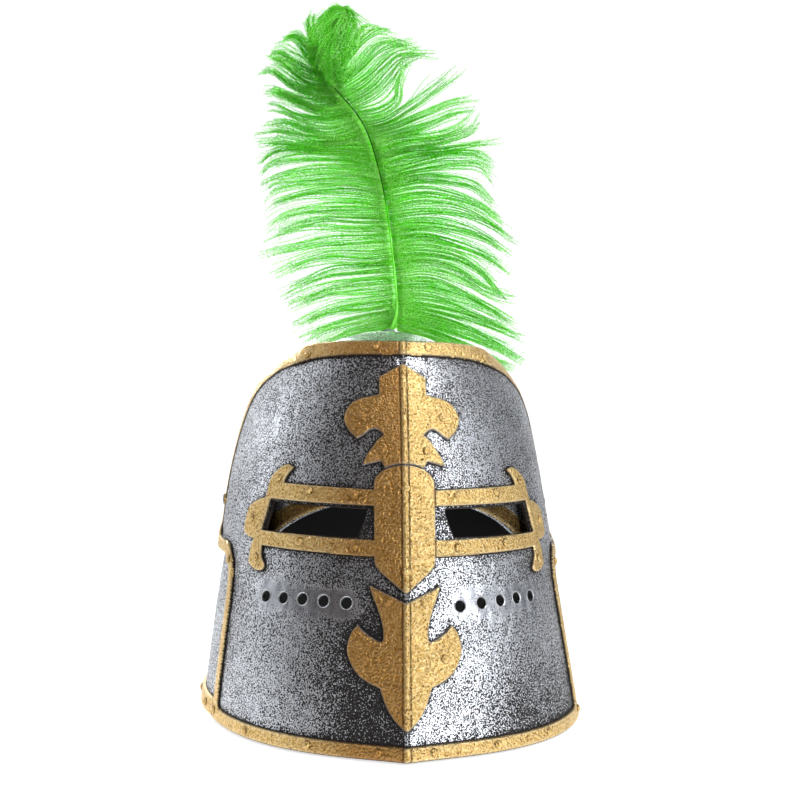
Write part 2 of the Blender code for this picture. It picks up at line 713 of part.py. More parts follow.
def tube_along(path, radii, flat, sides):
    """Closed tube through a path; flat is its thickness over its width."""
    path = np.asarray(path)
    tangent = np.gradient(path, axis=0)
    tangent /= np.linalg.norm(tangent, axis=1, keepdims=True)
    vertices = []
    faces = []
    turn = np.arange(sides) * 2 * math.pi / sides
    for k, centre in enumerate(path):
        front = np.array((0.0, -1.0, 0.0))
        wide = np.cross(tangent[k], front)
        if np.linalg.norm(wide) < 0.2:
            wide = np.array((1.0, 0.0, 0.0))
        wide /= np.linalg.norm(wide)
        deep = np.cross(tangent[k], wide)
        vertices.extend(centre + radii[k] * (np.cos(turn)[:, None] * wide
                                             + flat * np.sin(turn)[:, None] * deep))
    for r in range(len(path) - 1):
        for c in range(sides):
            d = (c + 1) % sides
            faces.append((r * sides + c, r * sides + d, (r + 1) * sides + d, (r + 1) * sides + c))
    faces.append(tuple(reversed(range(sides))))
    top = (len(path) - 1) * sides
    faces.append(tuple(top + c for c in range(sides)))
    return vertices, faces


def build_plume():
    """Ostrich feather: a quill and spine with drooping locks fused to it on both sides."""
    centre, axis = socket_frame()
    spine = [plume_spine(value)[0] for value in np.linspace(0.0, 1.0, 16)]
    foot = [centre + axis * reach for reach in (SOCKET_FLOOR + 0.6, SOCKET_LENGTH)]
    path = np.array(foot + spine[1:])
    radii = np.array([QUILL_RADIUS] * 3 + [3.2] * (len(path) - 4) + [1.6])
    vertices, faces = tube_along(path, radii, 1.0, 7)
    plume = new_object("plume", vertices, faces, ROOT, GREEN)
    locks = bpy.data.collections.new("plume_locks")
    bpy.context.scene.collection.children.link(locks)
    for side in (-1.0, 1.0):
        for k in range(LOCKS_EACH_SIDE):
            where = FIRST_LOCK + 0.84 * (k + 0.25 * side + 0.25) / (LOCKS_EACH_SIDE - 0.5)
            start, left, right = plume_spine(where)
            length = float(left if side < 0 else right)
            ahead, _, _ = plume_spine(min(1.0, where + 0.03))
            rise = ahead - start
            rise /= np.linalg.norm(rise)
            s = np.array(LOCK_STATIONS)[:, None]
            droop = 0.10 + 0.30 * (1.0 - where)
            wave = 4.0 * math.sin(2.4 * k + side)
            run = (start + side * (length * s - 2.0) * np.array((1.0, 0.0, 0.0))
                   + rise * length * (0.35 * s - (0.35 + droop) * s * s)
                   + np.array((0.0, wave, 0.0)) * s * s)
            girth = (LOCK_HALF_WIDTH if where < 0.9 else TIP_HALF_WIDTH) * np.array(LOCK_TAPER)
            vertices, faces = tube_along(run, girth, LOCK_FLATNESS, 6)
            lock = new_object("lock_" + str(k) + ("a" if side < 0 else "b"), vertices, faces, None, None)
            HELM.objects.unlink(lock)
            locks.objects.link(lock)
            lock.hide_render = True
            lock.display_type = 'WIRE'
    modifier = plume.modifiers.new("locks", 'BOOLEAN')
    modifier.operation = 'UNION'
    modifier.solver = 'MANIFOLD'
    modifier.operand_type = 'COLLECTION'
    modifier.collection = locks


def new_collection(name):
    """A collection in the scene."""
    made = bpy.data.collections.new(name)
    bpy.context.scene.collection.children.link(made)
    return made


def new_empty(name, place):
    """An empty that carries other objects."""
    made = bpy.data.objects.new(name, None)
    made.location = Vector(place) * MM
    HELM.objects.link(made)
    return made


for old in list(bpy.data.objects):
    bpy.data.objects.remove(old)
HELM = new_collection("great_helm")
CUTTERS = new_collection("cutters")
ROOT = new_empty("helm_root", (0.0, 0.0, 0.0))
HINGE = new_empty("visor_hinge", (0.0, TEMPLE_Y + HINGE_Y, HINGE_Z))
PIN_BORES = make_cutter(turned("pin_bores", ((0.0, PIN_HOLE), (24.0, PIN_HOLE)), hinge_places(85.0), 16))

build_skull_shell()
build_face_band()
build_hem_band()
build_visor_plate()
build_visor_border()
build_visor_trim("brow_fleur", mirrored(BROW_HALF), BROW_RIVETS)
build_visor_trim("nasal_plate", mirrored(NASAL_HALF), NASAL_RIVETS)
build_visor_trim("chin_fleur", mirrored(CHIN_HALF), CHIN_RIVETS)
build_visor_trim("eye_frame_left", EYE_FRAME, EYE_RIVETS, EYE_SLOT)
build_visor_trim("eye_frame_right", flipped(EYE_FRAME), flipped(EYE_RIVETS), flipped(EYE_SLOT))
build_pivots()
build_socket()
build_plume()
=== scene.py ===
"""Great helm with a hinged visor, gold trims and an ostrich plume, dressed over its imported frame.

Sizes are millimetres in the part's own frame: +X is the wearer's left, the face looks along -Y
and Z is up from the rim.  Meshes are written in metres.
"""
import logging
import math
from dataclasses import dataclass, field
from enum import Enum
from typing import Sequence

import bpy
import numpy as np
from mathutils import Matrix


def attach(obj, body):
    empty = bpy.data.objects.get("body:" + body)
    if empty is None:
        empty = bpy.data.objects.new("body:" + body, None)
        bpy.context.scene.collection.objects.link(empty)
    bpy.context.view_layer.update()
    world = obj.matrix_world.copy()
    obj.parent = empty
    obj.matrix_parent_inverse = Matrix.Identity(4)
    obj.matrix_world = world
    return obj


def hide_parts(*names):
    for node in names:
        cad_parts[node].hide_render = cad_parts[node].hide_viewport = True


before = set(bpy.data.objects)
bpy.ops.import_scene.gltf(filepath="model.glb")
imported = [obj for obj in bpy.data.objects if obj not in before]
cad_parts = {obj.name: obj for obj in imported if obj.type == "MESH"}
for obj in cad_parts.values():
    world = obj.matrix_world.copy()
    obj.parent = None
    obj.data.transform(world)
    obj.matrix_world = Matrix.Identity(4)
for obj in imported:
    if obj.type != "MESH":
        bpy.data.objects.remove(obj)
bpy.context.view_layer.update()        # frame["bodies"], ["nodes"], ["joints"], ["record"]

LOG = logging.getLogger("great_helm")
MM = 0.001
Array = np.ndarray


class Kind(Enum):
    """How an outline passes through a point."""

    CORNER = 0
    SMOOTH = 1


C = Kind.CORNER
S = Kind.SMOOTH

TEMPLE_Y = 21.9      # widest section of the helm
HINGE_Y = -5.2       # pivots, from the widest section
HINGE_Z = 122.0
TRIM_TOP = 1.8       # the trims' face over the plate that carries them
PIN_HOLE = 2.1       # radius of the holes that the pivots stand in
SKEW_WIDTH = 112.0   # half width at which the visor's skew is full
VISOR_FOOT = 0.5     # lowest and highest level of the visor
VISOR_TOP = 219.8
DOME_Z = 118.0       # height of the dome's foot, and how far it rises
DOME_RISE = 108.0
DOME_RUN = DOME_Z + DOME_RISE * math.pi / 2      # the skull's second parameter at its top
BEAD_HEIGHT = 0.75   # the keel's bead and the groove to each side of it
BEAD_WIDTH = 0.8
GROOVE_AT = 1.7
GROOVE_WIDTH = 0.42
GROOVE_DEPTH = 0.35


# Helpers for nodes and meshes

def linear(colour: str) -> tuple[float, float, float, float]:
    """Linear colour of an sRGB hex value.

    Args:
        colour: six hex digits after a hash.

    Returns:
        Red, green, blue and alpha for a node.
    """
    parts = [int(colour[k:k + 2], 16) / 255.0 for k in (1, 3, 5)]
    turned_linear = [p / 12.92 if p <= 0.04045 else ((p + 0.055) / 1.055) ** 2.4 for p in parts]
    return (*turned_linear, 1.0)


class NodeKit:
    """Nodes of one material or world, added by what they do."""

    def __init__(self, tree: bpy.types.NodeTree) -> None:
        """Keep the tree that gets the nodes."""
        self.tree = tree

    def add(self, kind: str, inputs: dict | None = None, stops: Sequence[tuple[float, object]] = (),
            **settings: object) -> bpy.types.Node:
        """Add a node with its settings and links.

        Args:
            kind: Blender's name for the kind of node.
            inputs: sockets by name or number, each with a value or a socket to link from.
            stops: places and colours of a colour ramp, a number standing for a grey.
            settings: the node's own properties.

        Returns:
            The new node.
        """
        node = self.tree.nodes.new(kind)
        for name, value in settings.items():
            setattr(node, name, value)
        self.feed(node, inputs or {})
        if stops:
            elements = node.color_ramp.elements
            while len(elements) < len(stops):
                elements.new(1.0)
            for element, (place, colour) in zip(elements, stops):
                element.position = place
                grey = not isinstance(colour, str)
                element.color = (colour, colour, colour, 1.0) if grey else linear(colour)
        return node

    def feed(self, node: bpy.types.Node, inputs: dict) -> None:
        """Link or set the sockets of a node.

        Args:
            node: the node.
            inputs: its sockets by name or number, each with a value or a socket to link from.
        """
        for socket, value in inputs.items():
            if isinstance(value, bpy.types.NodeSocket):
                self.tree.links.new(value, node.inputs[socket])
            else:
                node.inputs[socket].default_value = value

    def place(self) -> bpy.types.NodeSocket:
        """Place in the piece's own frame, metres."""
        return self.add("ShaderNodeTexCoord").outputs["Object"]

    def mark(self, name: str) -> bpy.types.NodeSocket:
        """Value that the piece's points carry."""
        return self.add("ShaderNodeAttribute", attribute_name=name).outputs["Fac"]

    def math(self, operation: str, *values: object) -> bpy.types.NodeSocket:
        """Result of one operation on sockets and numbers."""
        return self.add("ShaderNodeMath", dict(enumerate(values)), operation=operation).outputs[0]

    def scaled(self, value: object, factor: object, base: object) -> bpy.types.NodeSocket:
        """Value times factor, plus base."""
        return self.math('MULTIPLY_ADD', value, factor, base)

    def noise(self, at: bpy.types.NodeSocket, scale: float, detail: float,
              rough: float = 0.5) -> bpy.types.NodeSocket:
        """Smooth noise round 0.5, with so many cells to the metre."""
        inputs = {"Vector": at, "Scale": scale, "Detail": detail, "Roughness": rough}
        return self.add("ShaderNodeTexNoise", inputs).outputs["Fac"]

    def ramp(self, value: object, stops: Sequence[tuple[float, object]]) -> bpy.types.NodeSocket:
        """Colour ramp of a value."""
        return self.add("ShaderNodeValToRGB", {"Fac": value}, stops).outputs[0]

    def ranged(self, value: object, start: float, full: float, top: float = 1.0) -> bpy.types.NodeSocket:
        """Straight rise from 0 where the value is start to top where it is full."""
        inputs = {"Value": value, "From Min": start, "From Max": full, "To Min": 0.0, "To Max": top}
        return self.add("ShaderNodeMapRange", inputs).outputs[0]

    def mixed(self, share: object, first: object, second: object) -> bpy.types.NodeSocket:
        """Colour between two, each a socket or a hex value.

        Args:
            share: the second colour's share.
            first: colour at 0.
            second: colour at 1.

        Returns:
            The colour.
        """
        first, second = (linear(c) if isinstance(c, str) else c for c in (first, second))
        inputs = {"Factor": share, 6: first, 7: second}
        return self.add("ShaderNodeMix", inputs, data_type='RGBA').outputs[2]

    def bumped(self, height: object, strength: float, distance: float) -> bpy.types.NodeSocket:
        """Normal over a height, the distance in metres."""
        inputs = {"Strength": strength, "Distance": distance, "Height": height}
        return self.add("ShaderNodeBump", inputs).outputs[0]


def in_scene(name: str, data: bpy.types.ID) -> bpy.types.Object:
    """New object linked to the scene.

    Args:
        name: the object's name.
        data: its mesh, lamp or lens.

    Returns:
        The object.
    """
    thing = bpy.data.objects.new(name, data)
    bpy.context.scene.collection.objects.link(thing)
    return thing


def standing(right: Array, up: Array, back: Array, place: Array) -> Matrix:
    """Matrix of a thing whose own X, Y and Z point right, up and back, its place in metres."""
    rows = [(*row, p) for row, p in zip(np.stack([right, up, back], 1), place)]
    return Matrix(rows + [(0, 0, 0, 1)])


def through(at: Array, rows: Sequence[Sequence[float]], column: int) -> Array:
    """Smooth monotone curve through one column of a table.

    The slope at a knot is the harmonic mean of its neighbours' slopes, or zero at a turn, and
    each span is the cubic that has those slopes at its ends.

    Args:
        at: places in the table's first column.
        rows: the table.
        column: number of the column to read.

    Returns:
        The curve's values.
    """
    knots = np.array([row[0] for row in rows], dtype=float)
    values = np.array([row[column] for row in rows], dtype=float)
    step = np.diff(knots)
    slope = np.diff(values) / step
    tangent = np.empty_like(values)
    tangent[0] = slope[0]
    tangent[-1] = slope[-1]
    same_way = slope[:-1] * slope[1:] > 0
    mean = 2.0 * slope[:-1] * slope[1:] / np.where(same_way, slope[:-1] + slope[1:], 1.0)
    tangent[1:-1] = np.where(same_way, mean, 0.0)
    at = np.clip(at, knots[0], knots[-1])
    k = np.clip(np.searchsorted(knots, at, side="right") - 1, 0, len(step) - 1)
    t = (at - knots[k]) / step[k]
    return ((1 + 2 * t) * (1 - t) ** 2 * values[k] + t * (1 - t) ** 2 * step[k] * tangent[k]
            + t * t * (3 - 2 * t) * values[k + 1] - t * t * (1 - t) * step[k] * tangent[k + 1])


def cubic(before: Array, start: Array, end: Array, after: Array, t: Array) -> Array:
    """Catmull-Rom cubic from start to end, its end slopes half the step between their neighbours."""
    return 0.5 * (2 * start + (end - before) * t + (2 * before - 5 * start + 4 * end - after) * t * t
                  + (3 * start - before - 3 * end + after) * t ** 3)


def eased(value: Array, low: float, high: float) -> Array:
    """Smooth step from 0 at low to 1 at high."""
    t = np.clip((value - low) / (high - low), 0.0, 1.0)
    return t * t * (3 - 2 * t)


def unit(vectors: Array) -> Array:
    """Vectors made one long."""
    return vectors / np.maximum(np.linalg.norm(vectors, axis=-1, keepdims=True), 1e-12)


def ripple(a: Array, b: Array, period: float, seed: int) -> Array:
    """Gentle unevenness over a surface: eight plane waves of one period, turned at random.

    Args:
        a: first coordinate, mm.
        b: second coordinate, mm.
        period: wave length, mm.
        seed: number that fixes the directions and phases.

    Returns:
        Heights of about -1 to 1.
    """
    dice = np.random.default_rng(seed)
    total = np.zeros_like(a)
    for turn, phase, stretch in zip(dice.uniform(0, math.pi, 8), dice.uniform(0, 6.28, 8),
                                    dice.uniform(0.7, 1.4, 8)):
        wave = 2 * math.pi / (period * stretch)
        total = total + np.sin(wave * (a * math.cos(turn) + b * math.sin(turn)) + phase)
    return total / 3.0


@dataclass
class Shape:
    """Triangles with a finish number on each face and named values on each point.

    Attributes:
        points: places, mm.
        faces: three point numbers a row, facing outwards.
        coats: number of each face's finish.
        marks: values on the points that the finishes read.
    """

    points: Array
    faces: Array
    coats: Array
    marks: dict[str, Array] = field(default_factory=dict)

    @staticmethod
    def joined(parts: Sequence["Shape"]) -> "Shape":
        """Several shapes as one.

        Args:
            parts: the shapes.

        Returns:
            One shape, with zero for a mark that a part lacks.
        """
        starts = np.cumsum([0] + [len(p.points) for p in parts[:-1]])
        names = sorted({name for p in parts for name in p.marks})
        marks = {name: np.concatenate([p.marks.get(name, np.zeros(len(p.points))) for p in parts])
                 for name in names}
        return Shape(np.concatenate([p.points for p in parts]),
                     np.concatenate([p.faces + start for p, start in zip(parts, starts)]),
                     np.concatenate([p.coats for p in parts]), marks)


def make_piece(name: str, shape: Shape, finishes: Sequence[bpy.types.Material], body: str,
               nodes: Sequence[str] = (), crease: float = 38.0) -> bpy.types.Object:
    """Write a shape to a mesh object and hang it on its body.

    Args:
        name: the piece's name.
        shape: its mesh.
        finishes: materials in the order of the finish numbers.
        body: CAD body that it rides on.
        nodes: CAD nodes that it stands for.
        crease: edges sharper than this angle, in degrees, stay sharp.

    Returns:
        The object.
    """
    mesh = bpy.data.meshes.new(name)
    mesh.vertices.add(len(shape.points))
    mesh.vertices.foreach_set("co", (shape.points * MM).astype(np.float32).ravel())
    mesh.loops.add(3 * len(shape.faces))
    mesh.loops.foreach_set("vertex_index", shape.faces.astype(np.int32).ravel())
    mesh.polygons.add(len(shape.faces))
    mesh.polygons.foreach_set("loop_start", np.arange(0, 3 * len(shape.faces), 3, dtype=np.int32))
    mesh.polygons.foreach_set("material_index", shape.coats.astype(np.int32))
    for finish in finishes:
        mesh.materials.append(finish)
    for mark, values in shape.marks.items():
        layer = mesh.attributes.new(mark, 'FLOAT', 'POINT')
        layer.data.foreach_set("value", values.astype(np.float32))
    mesh.update(calc_edges=True)
    mesh.validate()
    mesh.shade_smooth()
    mesh.set_sharp_from_angle(angle=math.radians(crease))
    piece = in_scene(name, mesh)
    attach(piece, body)
    if nodes:
        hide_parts(*nodes)
    LOG.info("%s: %d triangles", name, len(shape.faces))
    return piece


def grid_faces(rows: int, columns: int, around: bool = False, capped: bool = False) -> Array:
    """Triangles of a grid of points, facing outwards when columns turn to +X and rows rise.

    Args:
        rows: number of rows.
        columns: number of columns.
        around: the last column joins the first.
        capped: the last row joins the first.

    Returns:
        Three point numbers a row.
    """
    r = np.arange(rows if capped else rows - 1)[:, None]
    c = np.arange(columns if around else columns - 1)[None, :]
    low, high = r * columns, ((r + 1) % rows) * columns
    here, there = c, (c + 1) % columns
    first = np.stack([low + here, low + there, high + there], axis=-1).reshape(-1, 3)
    second = np.stack([low + here, high + there, high + here], axis=-1).reshape(-1, 3)
    return np.concatenate([first, second])


def closed_sheet(outer: Array, inner: Array, faces: Array, marks: dict[str, Array],
                 inner_coat: int = 1) -> Shape:
    """Solid between an outer and an inner sheet of the same triangles.

    A wall of two triangles joins the sheets along every edge that has a triangle on one side only.

    Args:
        outer: points of the outer sheet, mm.
        inner: the same points on the inner sheet.
        faces: triangles, facing outwards on the outer sheet.
        marks: values on the outer points, repeated inside.
        inner_coat: finish number of the inner sheet.

    Returns:
        The closed shape.
    """
    count = len(outer)
    edges = np.concatenate([faces[:, [0, 1]], faces[:, [1, 2]], faces[:, [2, 0]]])
    rim = edges[~np.isin(edges[:, 0] * count + edges[:, 1], edges[:, 1] * count + edges[:, 0])]
    a, b = rim[:, 0], rim[:, 1]
    wall = np.concatenate([np.stack([a, a + count, b + count], 1), np.stack([a, b + count, b], 1)])
    coats = np.concatenate([np.zeros(len(faces) + len(wall)), np.full(len(faces), inner_coat)])
    return Shape(np.concatenate([outer, inner]),
                 np.concatenate([faces, wall, faces[:, ::-1] + count]), coats,
                 {name: np.concatenate([values, values]) for name, values in marks.items()})


def turned(profile: Sequence[tuple[float, float]], centres: Array, axes: Array, sides: int,
           ring: bool = False, coat: int = 0, low_mark: float = 0.0) -> Shape:
    """Equal round solids, each a profile turned about its own axis.

    A point is the centre, plus its radius towards each of the equal turns, plus its run along the
    axis.  The ends are closed by a point on the axis, or the profile closes on itself as a ring.

    Args:
        profile: rows of radius and run along the axis.
        centres: one place a solid.
        axes: one direction a solid.
        sides: points round the axis.
        ring: the profile is closed, its outer wall running along the axis.
        coat: finish number.
        low_mark: value of the corner mark on the first two rows, a dark ring of wash and painted shade.

    Returns:
        All the solids as one shape.
    """
    rows = np.array(profile, dtype=float)
    count = len(rows)
    turn = np.arange(sides) * 2 * math.pi / sides
    local = np.stack([rows[:, :1] * np.cos(turn), rows[:, :1] * np.sin(turn),
                      rows[:, 1:] + 0 * turn], axis=-1).reshape(-1, 3)
    mark = np.repeat(np.where(np.arange(count) < 2, low_mark, 0.0), sides)
    faces = grid_faces(count, sides, True, ring)
    if not ring:
        local = np.concatenate([local, [(0, 0, rows[0, 1]), (0, 0, rows[-1, 1])]])
        mark = np.concatenate([mark, [0.0, 0.0]])
        k = np.arange(sides)
        after = (k + 1) % sides
        top = (count - 1) * sides
        faces = np.concatenate([faces, np.stack([after, k, 0 * k + count * sides], 1),
                                np.stack([top + k, top + after, 0 * k + count * sides + 1], 1)])
    axes = unit(np.atleast_2d(axes).astype(float))
    centres = np.atleast_2d(centres)
    helper = np.where(np.abs(axes[:, 2:]) < 0.9, (0.0, 0.0, 1.0), (1.0, 0.0, 0.0))
    side = unit(np.cross(helper, axes))
    bases = np.stack([side, np.cross(axes, side), axes], axis=1)
    points = (centres[:, None] + np.einsum("qj,kji->kqi", local, bases)).reshape(-1, 3)
    starts = (np.arange(len(centres)) * len(local))[:, None, None]
    faces = (faces[None] + starts).reshape(-1, 3)
    return Shape(points, faces, np.full(len(faces), coat), {"crevice": np.tile(mark, len(centres))})


# The helm's two surfaces

@dataclass(frozen=True)
class VisorForm:
    """The visor's outer surface.

    A level section is x = width * sin(angle), with a superellipse of the table's fullness for the
    depth ahead of the temples.  The keel adds a height that dies out exponentially to each side,
    and the rim's rear corners sit a little to +X.
    """

    keel: float = 14.2
    spread: float = 31.8
    back: float = 110.0
    skew: float = 5.5
    skew_end: float = 130.0
    # height, half width, front depth, fullness of the curve
    sections: tuple = ((0.0, 112.5, 139.5, 2.30), (70.0, 104.6, 124.6, 2.16), (105.0, 100.2, 115.6, 2.08),
                       (140.0, 94.8, 106.6, 2.01), (173.0, 87.4, 95.0, 1.95), (190.0, 81.4, 88.0, 1.91),
                       (207.0, 70.6, 81.5, 1.88), (224.0, 56.0, 76.0, 1.85))

    def at(self, angle: Array, height: Array) -> Array:
        """Points of the surface, the angle running from the keel to a quarter turn at the temple.

        Args:
            angle: turn from the keel, radians, positive to +X.
            height: mm above the rim.

        Returns:
            Points in mm.
        """
        width = through(height, self.sections, 1)
        front = through(height, self.sections, 2)
        full = through(height, self.sections, 3)
        x = width * np.sin(angle)
        ahead = front * np.maximum(1.0 - np.abs(np.sin(angle)) ** full, 0.0) ** (1.0 / full)
        y = TEMPLE_Y - np.where(np.abs(angle) <= math.pi / 2, ahead, -self.back * np.abs(np.cos(angle)))
        y = y - self.keel * (1.0 - 0.5 * height / 220.0) * np.exp(-np.abs(x) / self.spread)
        fade = np.clip(1.0 - height / self.skew_end, 0.0, 1.0)
        return np.stack([x + self.skew * fade * (x / SKEW_WIDTH) ** 2, y, height + 0.0 * x], axis=-1)

    def angle_at(self, across: Array, height: Array) -> Array:
        """Angle of a place seen from the front, the skew's quadratic solved for the straight x.

        Args:
            across: x in mm.
            height: mm above the rim.

        Returns:
            Angles in radians.
        """
        bend = self.skew * np.clip(1.0 - height / self.skew_end, 0.0, 1.0) / SKEW_WIDTH ** 2
        straight = 2 * across / (1 + np.sqrt(1 + 4 * bend * across))
        return np.arcsin(np.clip(straight / through(height, self.sections, 1), -1.0, 1.0))


@dataclass(frozen=True)
class SkullForm:
    """The skull's outer surface: superellipse sections under an ellipsoid dome.

    Its second parameter is the height up to the dome's foot, and from there the length of the
    dome's arc, so that it runs evenly over the crown.
    """

    dome_z: float = DOME_Z
    rise: float = DOME_RISE
    # height, half width, front depth, back depth, fullness of the front
    sections: tuple = ((0.0, 109.0, 113.0, 110.0, 2.30), (30.0, 105.5, 112.0, 110.0, 2.25),
                       (60.0, 102.0, 111.0, 110.0, 2.15), (85.0, 98.4, 109.6, 109.5, 2.08),
                       (104.0, 94.8, 108.0, 109.0, 2.00), (118.0, 92.5, 107.0, 108.0, 2.00))

    def at(self, angle: Array, run: Array) -> Array:
        """Points of the surface, the angle a whole turn with the face at 0.

        Args:
            angle: turn from the face, radians, positive to +X.
            run: height, or arc length over the dome's foot, mm.

        Returns:
            Points in mm.
        """
        low = np.minimum(run, self.dome_z)
        lean = np.maximum(run - self.dome_z, 0.0) / self.rise
        width = through(low, self.sections, 1)
        full = through(low, self.sections, 4)
        bulge = np.maximum(1.0 - np.abs(np.sin(angle)) ** full, 0.0) ** (1.0 / full)
        y = np.where(np.cos(angle) >= 0.0, -through(low, self.sections, 2) * bulge,
                     through(low, self.sections, 3) * np.abs(np.cos(angle)))
        return np.stack([width * np.sin(angle) * np.cos(lean), y * np.cos(lean) + TEMPLE_Y,
                         low + self.rise * np.sin(lean) + 0.0 * angle], axis=-1)

    def run_at(self, height: Array) -> Array:
        """Second parameter of a height."""
        over = np.clip((height - self.dome_z) / self.rise, 0.0, 1.0)
        return np.where(height > self.dome_z, self.dome_z + self.rise * np.arcsin(over), height)

    def angle_at(self, across: Array, run: Array) -> Array:
        """Angle of a place seen from the front.

        Args:
            across: x in mm.
            run: the surface's second parameter.

        Returns:
            Angles in radians.
        """
        lean = np.maximum(run - self.dome_z, 0.0) / self.rise
        width = through(np.minimum(run, self.dome_z), self.sections, 1) * np.cos(lean)
        return np.arcsin(np.clip(across / width, -1.0, 1.0))


class Unrolled:
    """A surface laid flat: one coordinate runs along each level section from the middle of the
    face, positive to +X, and the other is the surface's own height."""

    CELLS = 1400      # steps of the angle
    SPACING = 0.25    # mm between tabulated lengths

    def __init__(self, form: VisorForm | SkullForm, top: float, reach: float) -> None:
        """Tabulate the sections' lengths.

        Args:
            form: the surface.
            top: highest value of its second parameter.
            reach: largest angle, degrees.
        """
        self.form = form
        self.low = -4.0
        heights = np.arange(self.low, top, 1.0)
        self.step = math.radians(reach) / self.CELLS
        angles = np.arange(self.CELLS + 1) * self.step
        self.lengths = {}
        self.turns = {}
        for side in (-1.0, 1.0):
            a, z = np.meshgrid(angles * side, heights)
            section = form.at(a, z)
            pieces = np.linalg.norm(np.diff(section, axis=1), axis=-1)
            run = np.concatenate([np.zeros((len(heights), 1)), np.cumsum(pieces, axis=1)], axis=1)
            even = np.arange(0.0, run.max() + 1.0, self.SPACING)
            self.lengths[side] = run
            self.turns[side] = np.array([np.interp(even, row, angles) for row in run])

    @staticmethod
    def read(table: Array, row: Array, column: Array) -> Array:
        """Value between the cells of a table, linear both ways.

        Args:
            table: values by row and column.
            row: row number with its fraction.
            column: column number with its fraction.

        Returns:
            The values.
        """
        r = np.clip(np.floor(row).astype(int), 0, table.shape[0] - 2)
        c = np.clip(np.floor(column).astype(int), 0, table.shape[1] - 2)
        v, u = row - r, column - c
        return ((table[r, c] * (1 - u) + table[r, c + 1] * u) * (1 - v)
                + (table[r + 1, c] * (1 - u) + table[r + 1, c + 1] * u) * v)

    def along(self, angle: Array, height: Array) -> Array:
        """Length along the section from the middle of the face to an angle.

        Args:
            angle: angles, radians.
            height: the surface's second parameter.

        Returns:
            Lengths in mm, negative towards -X.
        """
        size = np.abs(angle) / self.step
        row = height - self.low
        return np.where(angle < 0, -self.read(self.lengths[-1.0], row, size),
                        self.read(self.lengths[1.0], row, size))

    def angle(self, along: Array, height: Array) -> Array:
        """Angle at a length along the section.

        Args:
            along: lengths in mm.
            height: the surface's second parameter.

        Returns:
            Angles in radians.
        """
        size = np.abs(along) / self.SPACING
        row = height - self.low
        return np.where(along < 0, -self.read(self.turns[-1.0], row, size),
                        self.read(self.turns[1.0], row, size))

    def lifted(self, angle: Array, height: Array, lift: Array) -> Array:
        """Points a distance outside the surface.

        The normal is the cross product of the surface's steps along the section and upwards.

        Args:
            angle: angles on the surface.
            height: heights on it.
            lift: distances outwards, mm.

        Returns:
            Points in mm.
        """
        across = self.form.at(angle + 0.004, height) - self.form.at(angle - 0.004, height)
        up = self.form.at(angle, height + 0.4) - self.form.at(angle, height - 0.4)
        return self.form.at(angle, height) + np.asarray(lift)[..., None] * unit(np.cross(across, up))

    def place(self, flat: Array, lift: Array) -> Array:
        """Points for flat coordinates, a distance outside the surface."""
        return self.lifted(self.angle(flat[..., 0], flat[..., 1]), flat[..., 1], lift)

    def outward(self, flat: Array) -> Array:
        """Unit normals at flat coordinates."""
        zero = np.zeros(len(flat))
        return self.place(flat, zero + 1.0) - self.place(flat, zero)

    def from_front(self, across: Array, height: Array) -> Array:
        """Flat coordinates of places seen from the front."""
        across, height = np.asarray(across, float), np.asarray(height, float)
        return np.stack([self.along(self.form.angle_at(across, height), height), height], axis=-1)

    def from_side(self, back: Array, height: Array, side: float) -> Array:
        """Flat coordinates of places seen from the side, by halving the angle's bracket.

        Args:
            back: y from the widest section, mm.
            height: height, mm.
            side: 1 for +X, -1 for -X.

        Returns:
            Flat coordinates.
        """
        back, height = np.asarray(back, float), np.asarray(height, float)
        low, high = np.zeros_like(back), np.full_like(back, math.pi / 2)
        for _ in range(36):
            middle = 0.5 * (low + high)
            ahead = self.form.at(side * middle, height)[..., 1] - TEMPLE_Y < back
            low, high = np.where(ahead, middle, low), np.where(ahead, high, middle)
        return np.stack([self.along(side * low, height), height], axis=-1)


VISOR = Unrolled(VisorForm(), 228.0, 100.0)
SKULL = Unrolled(SkullForm(), 288.0, 180.0)


# Outlines and relief

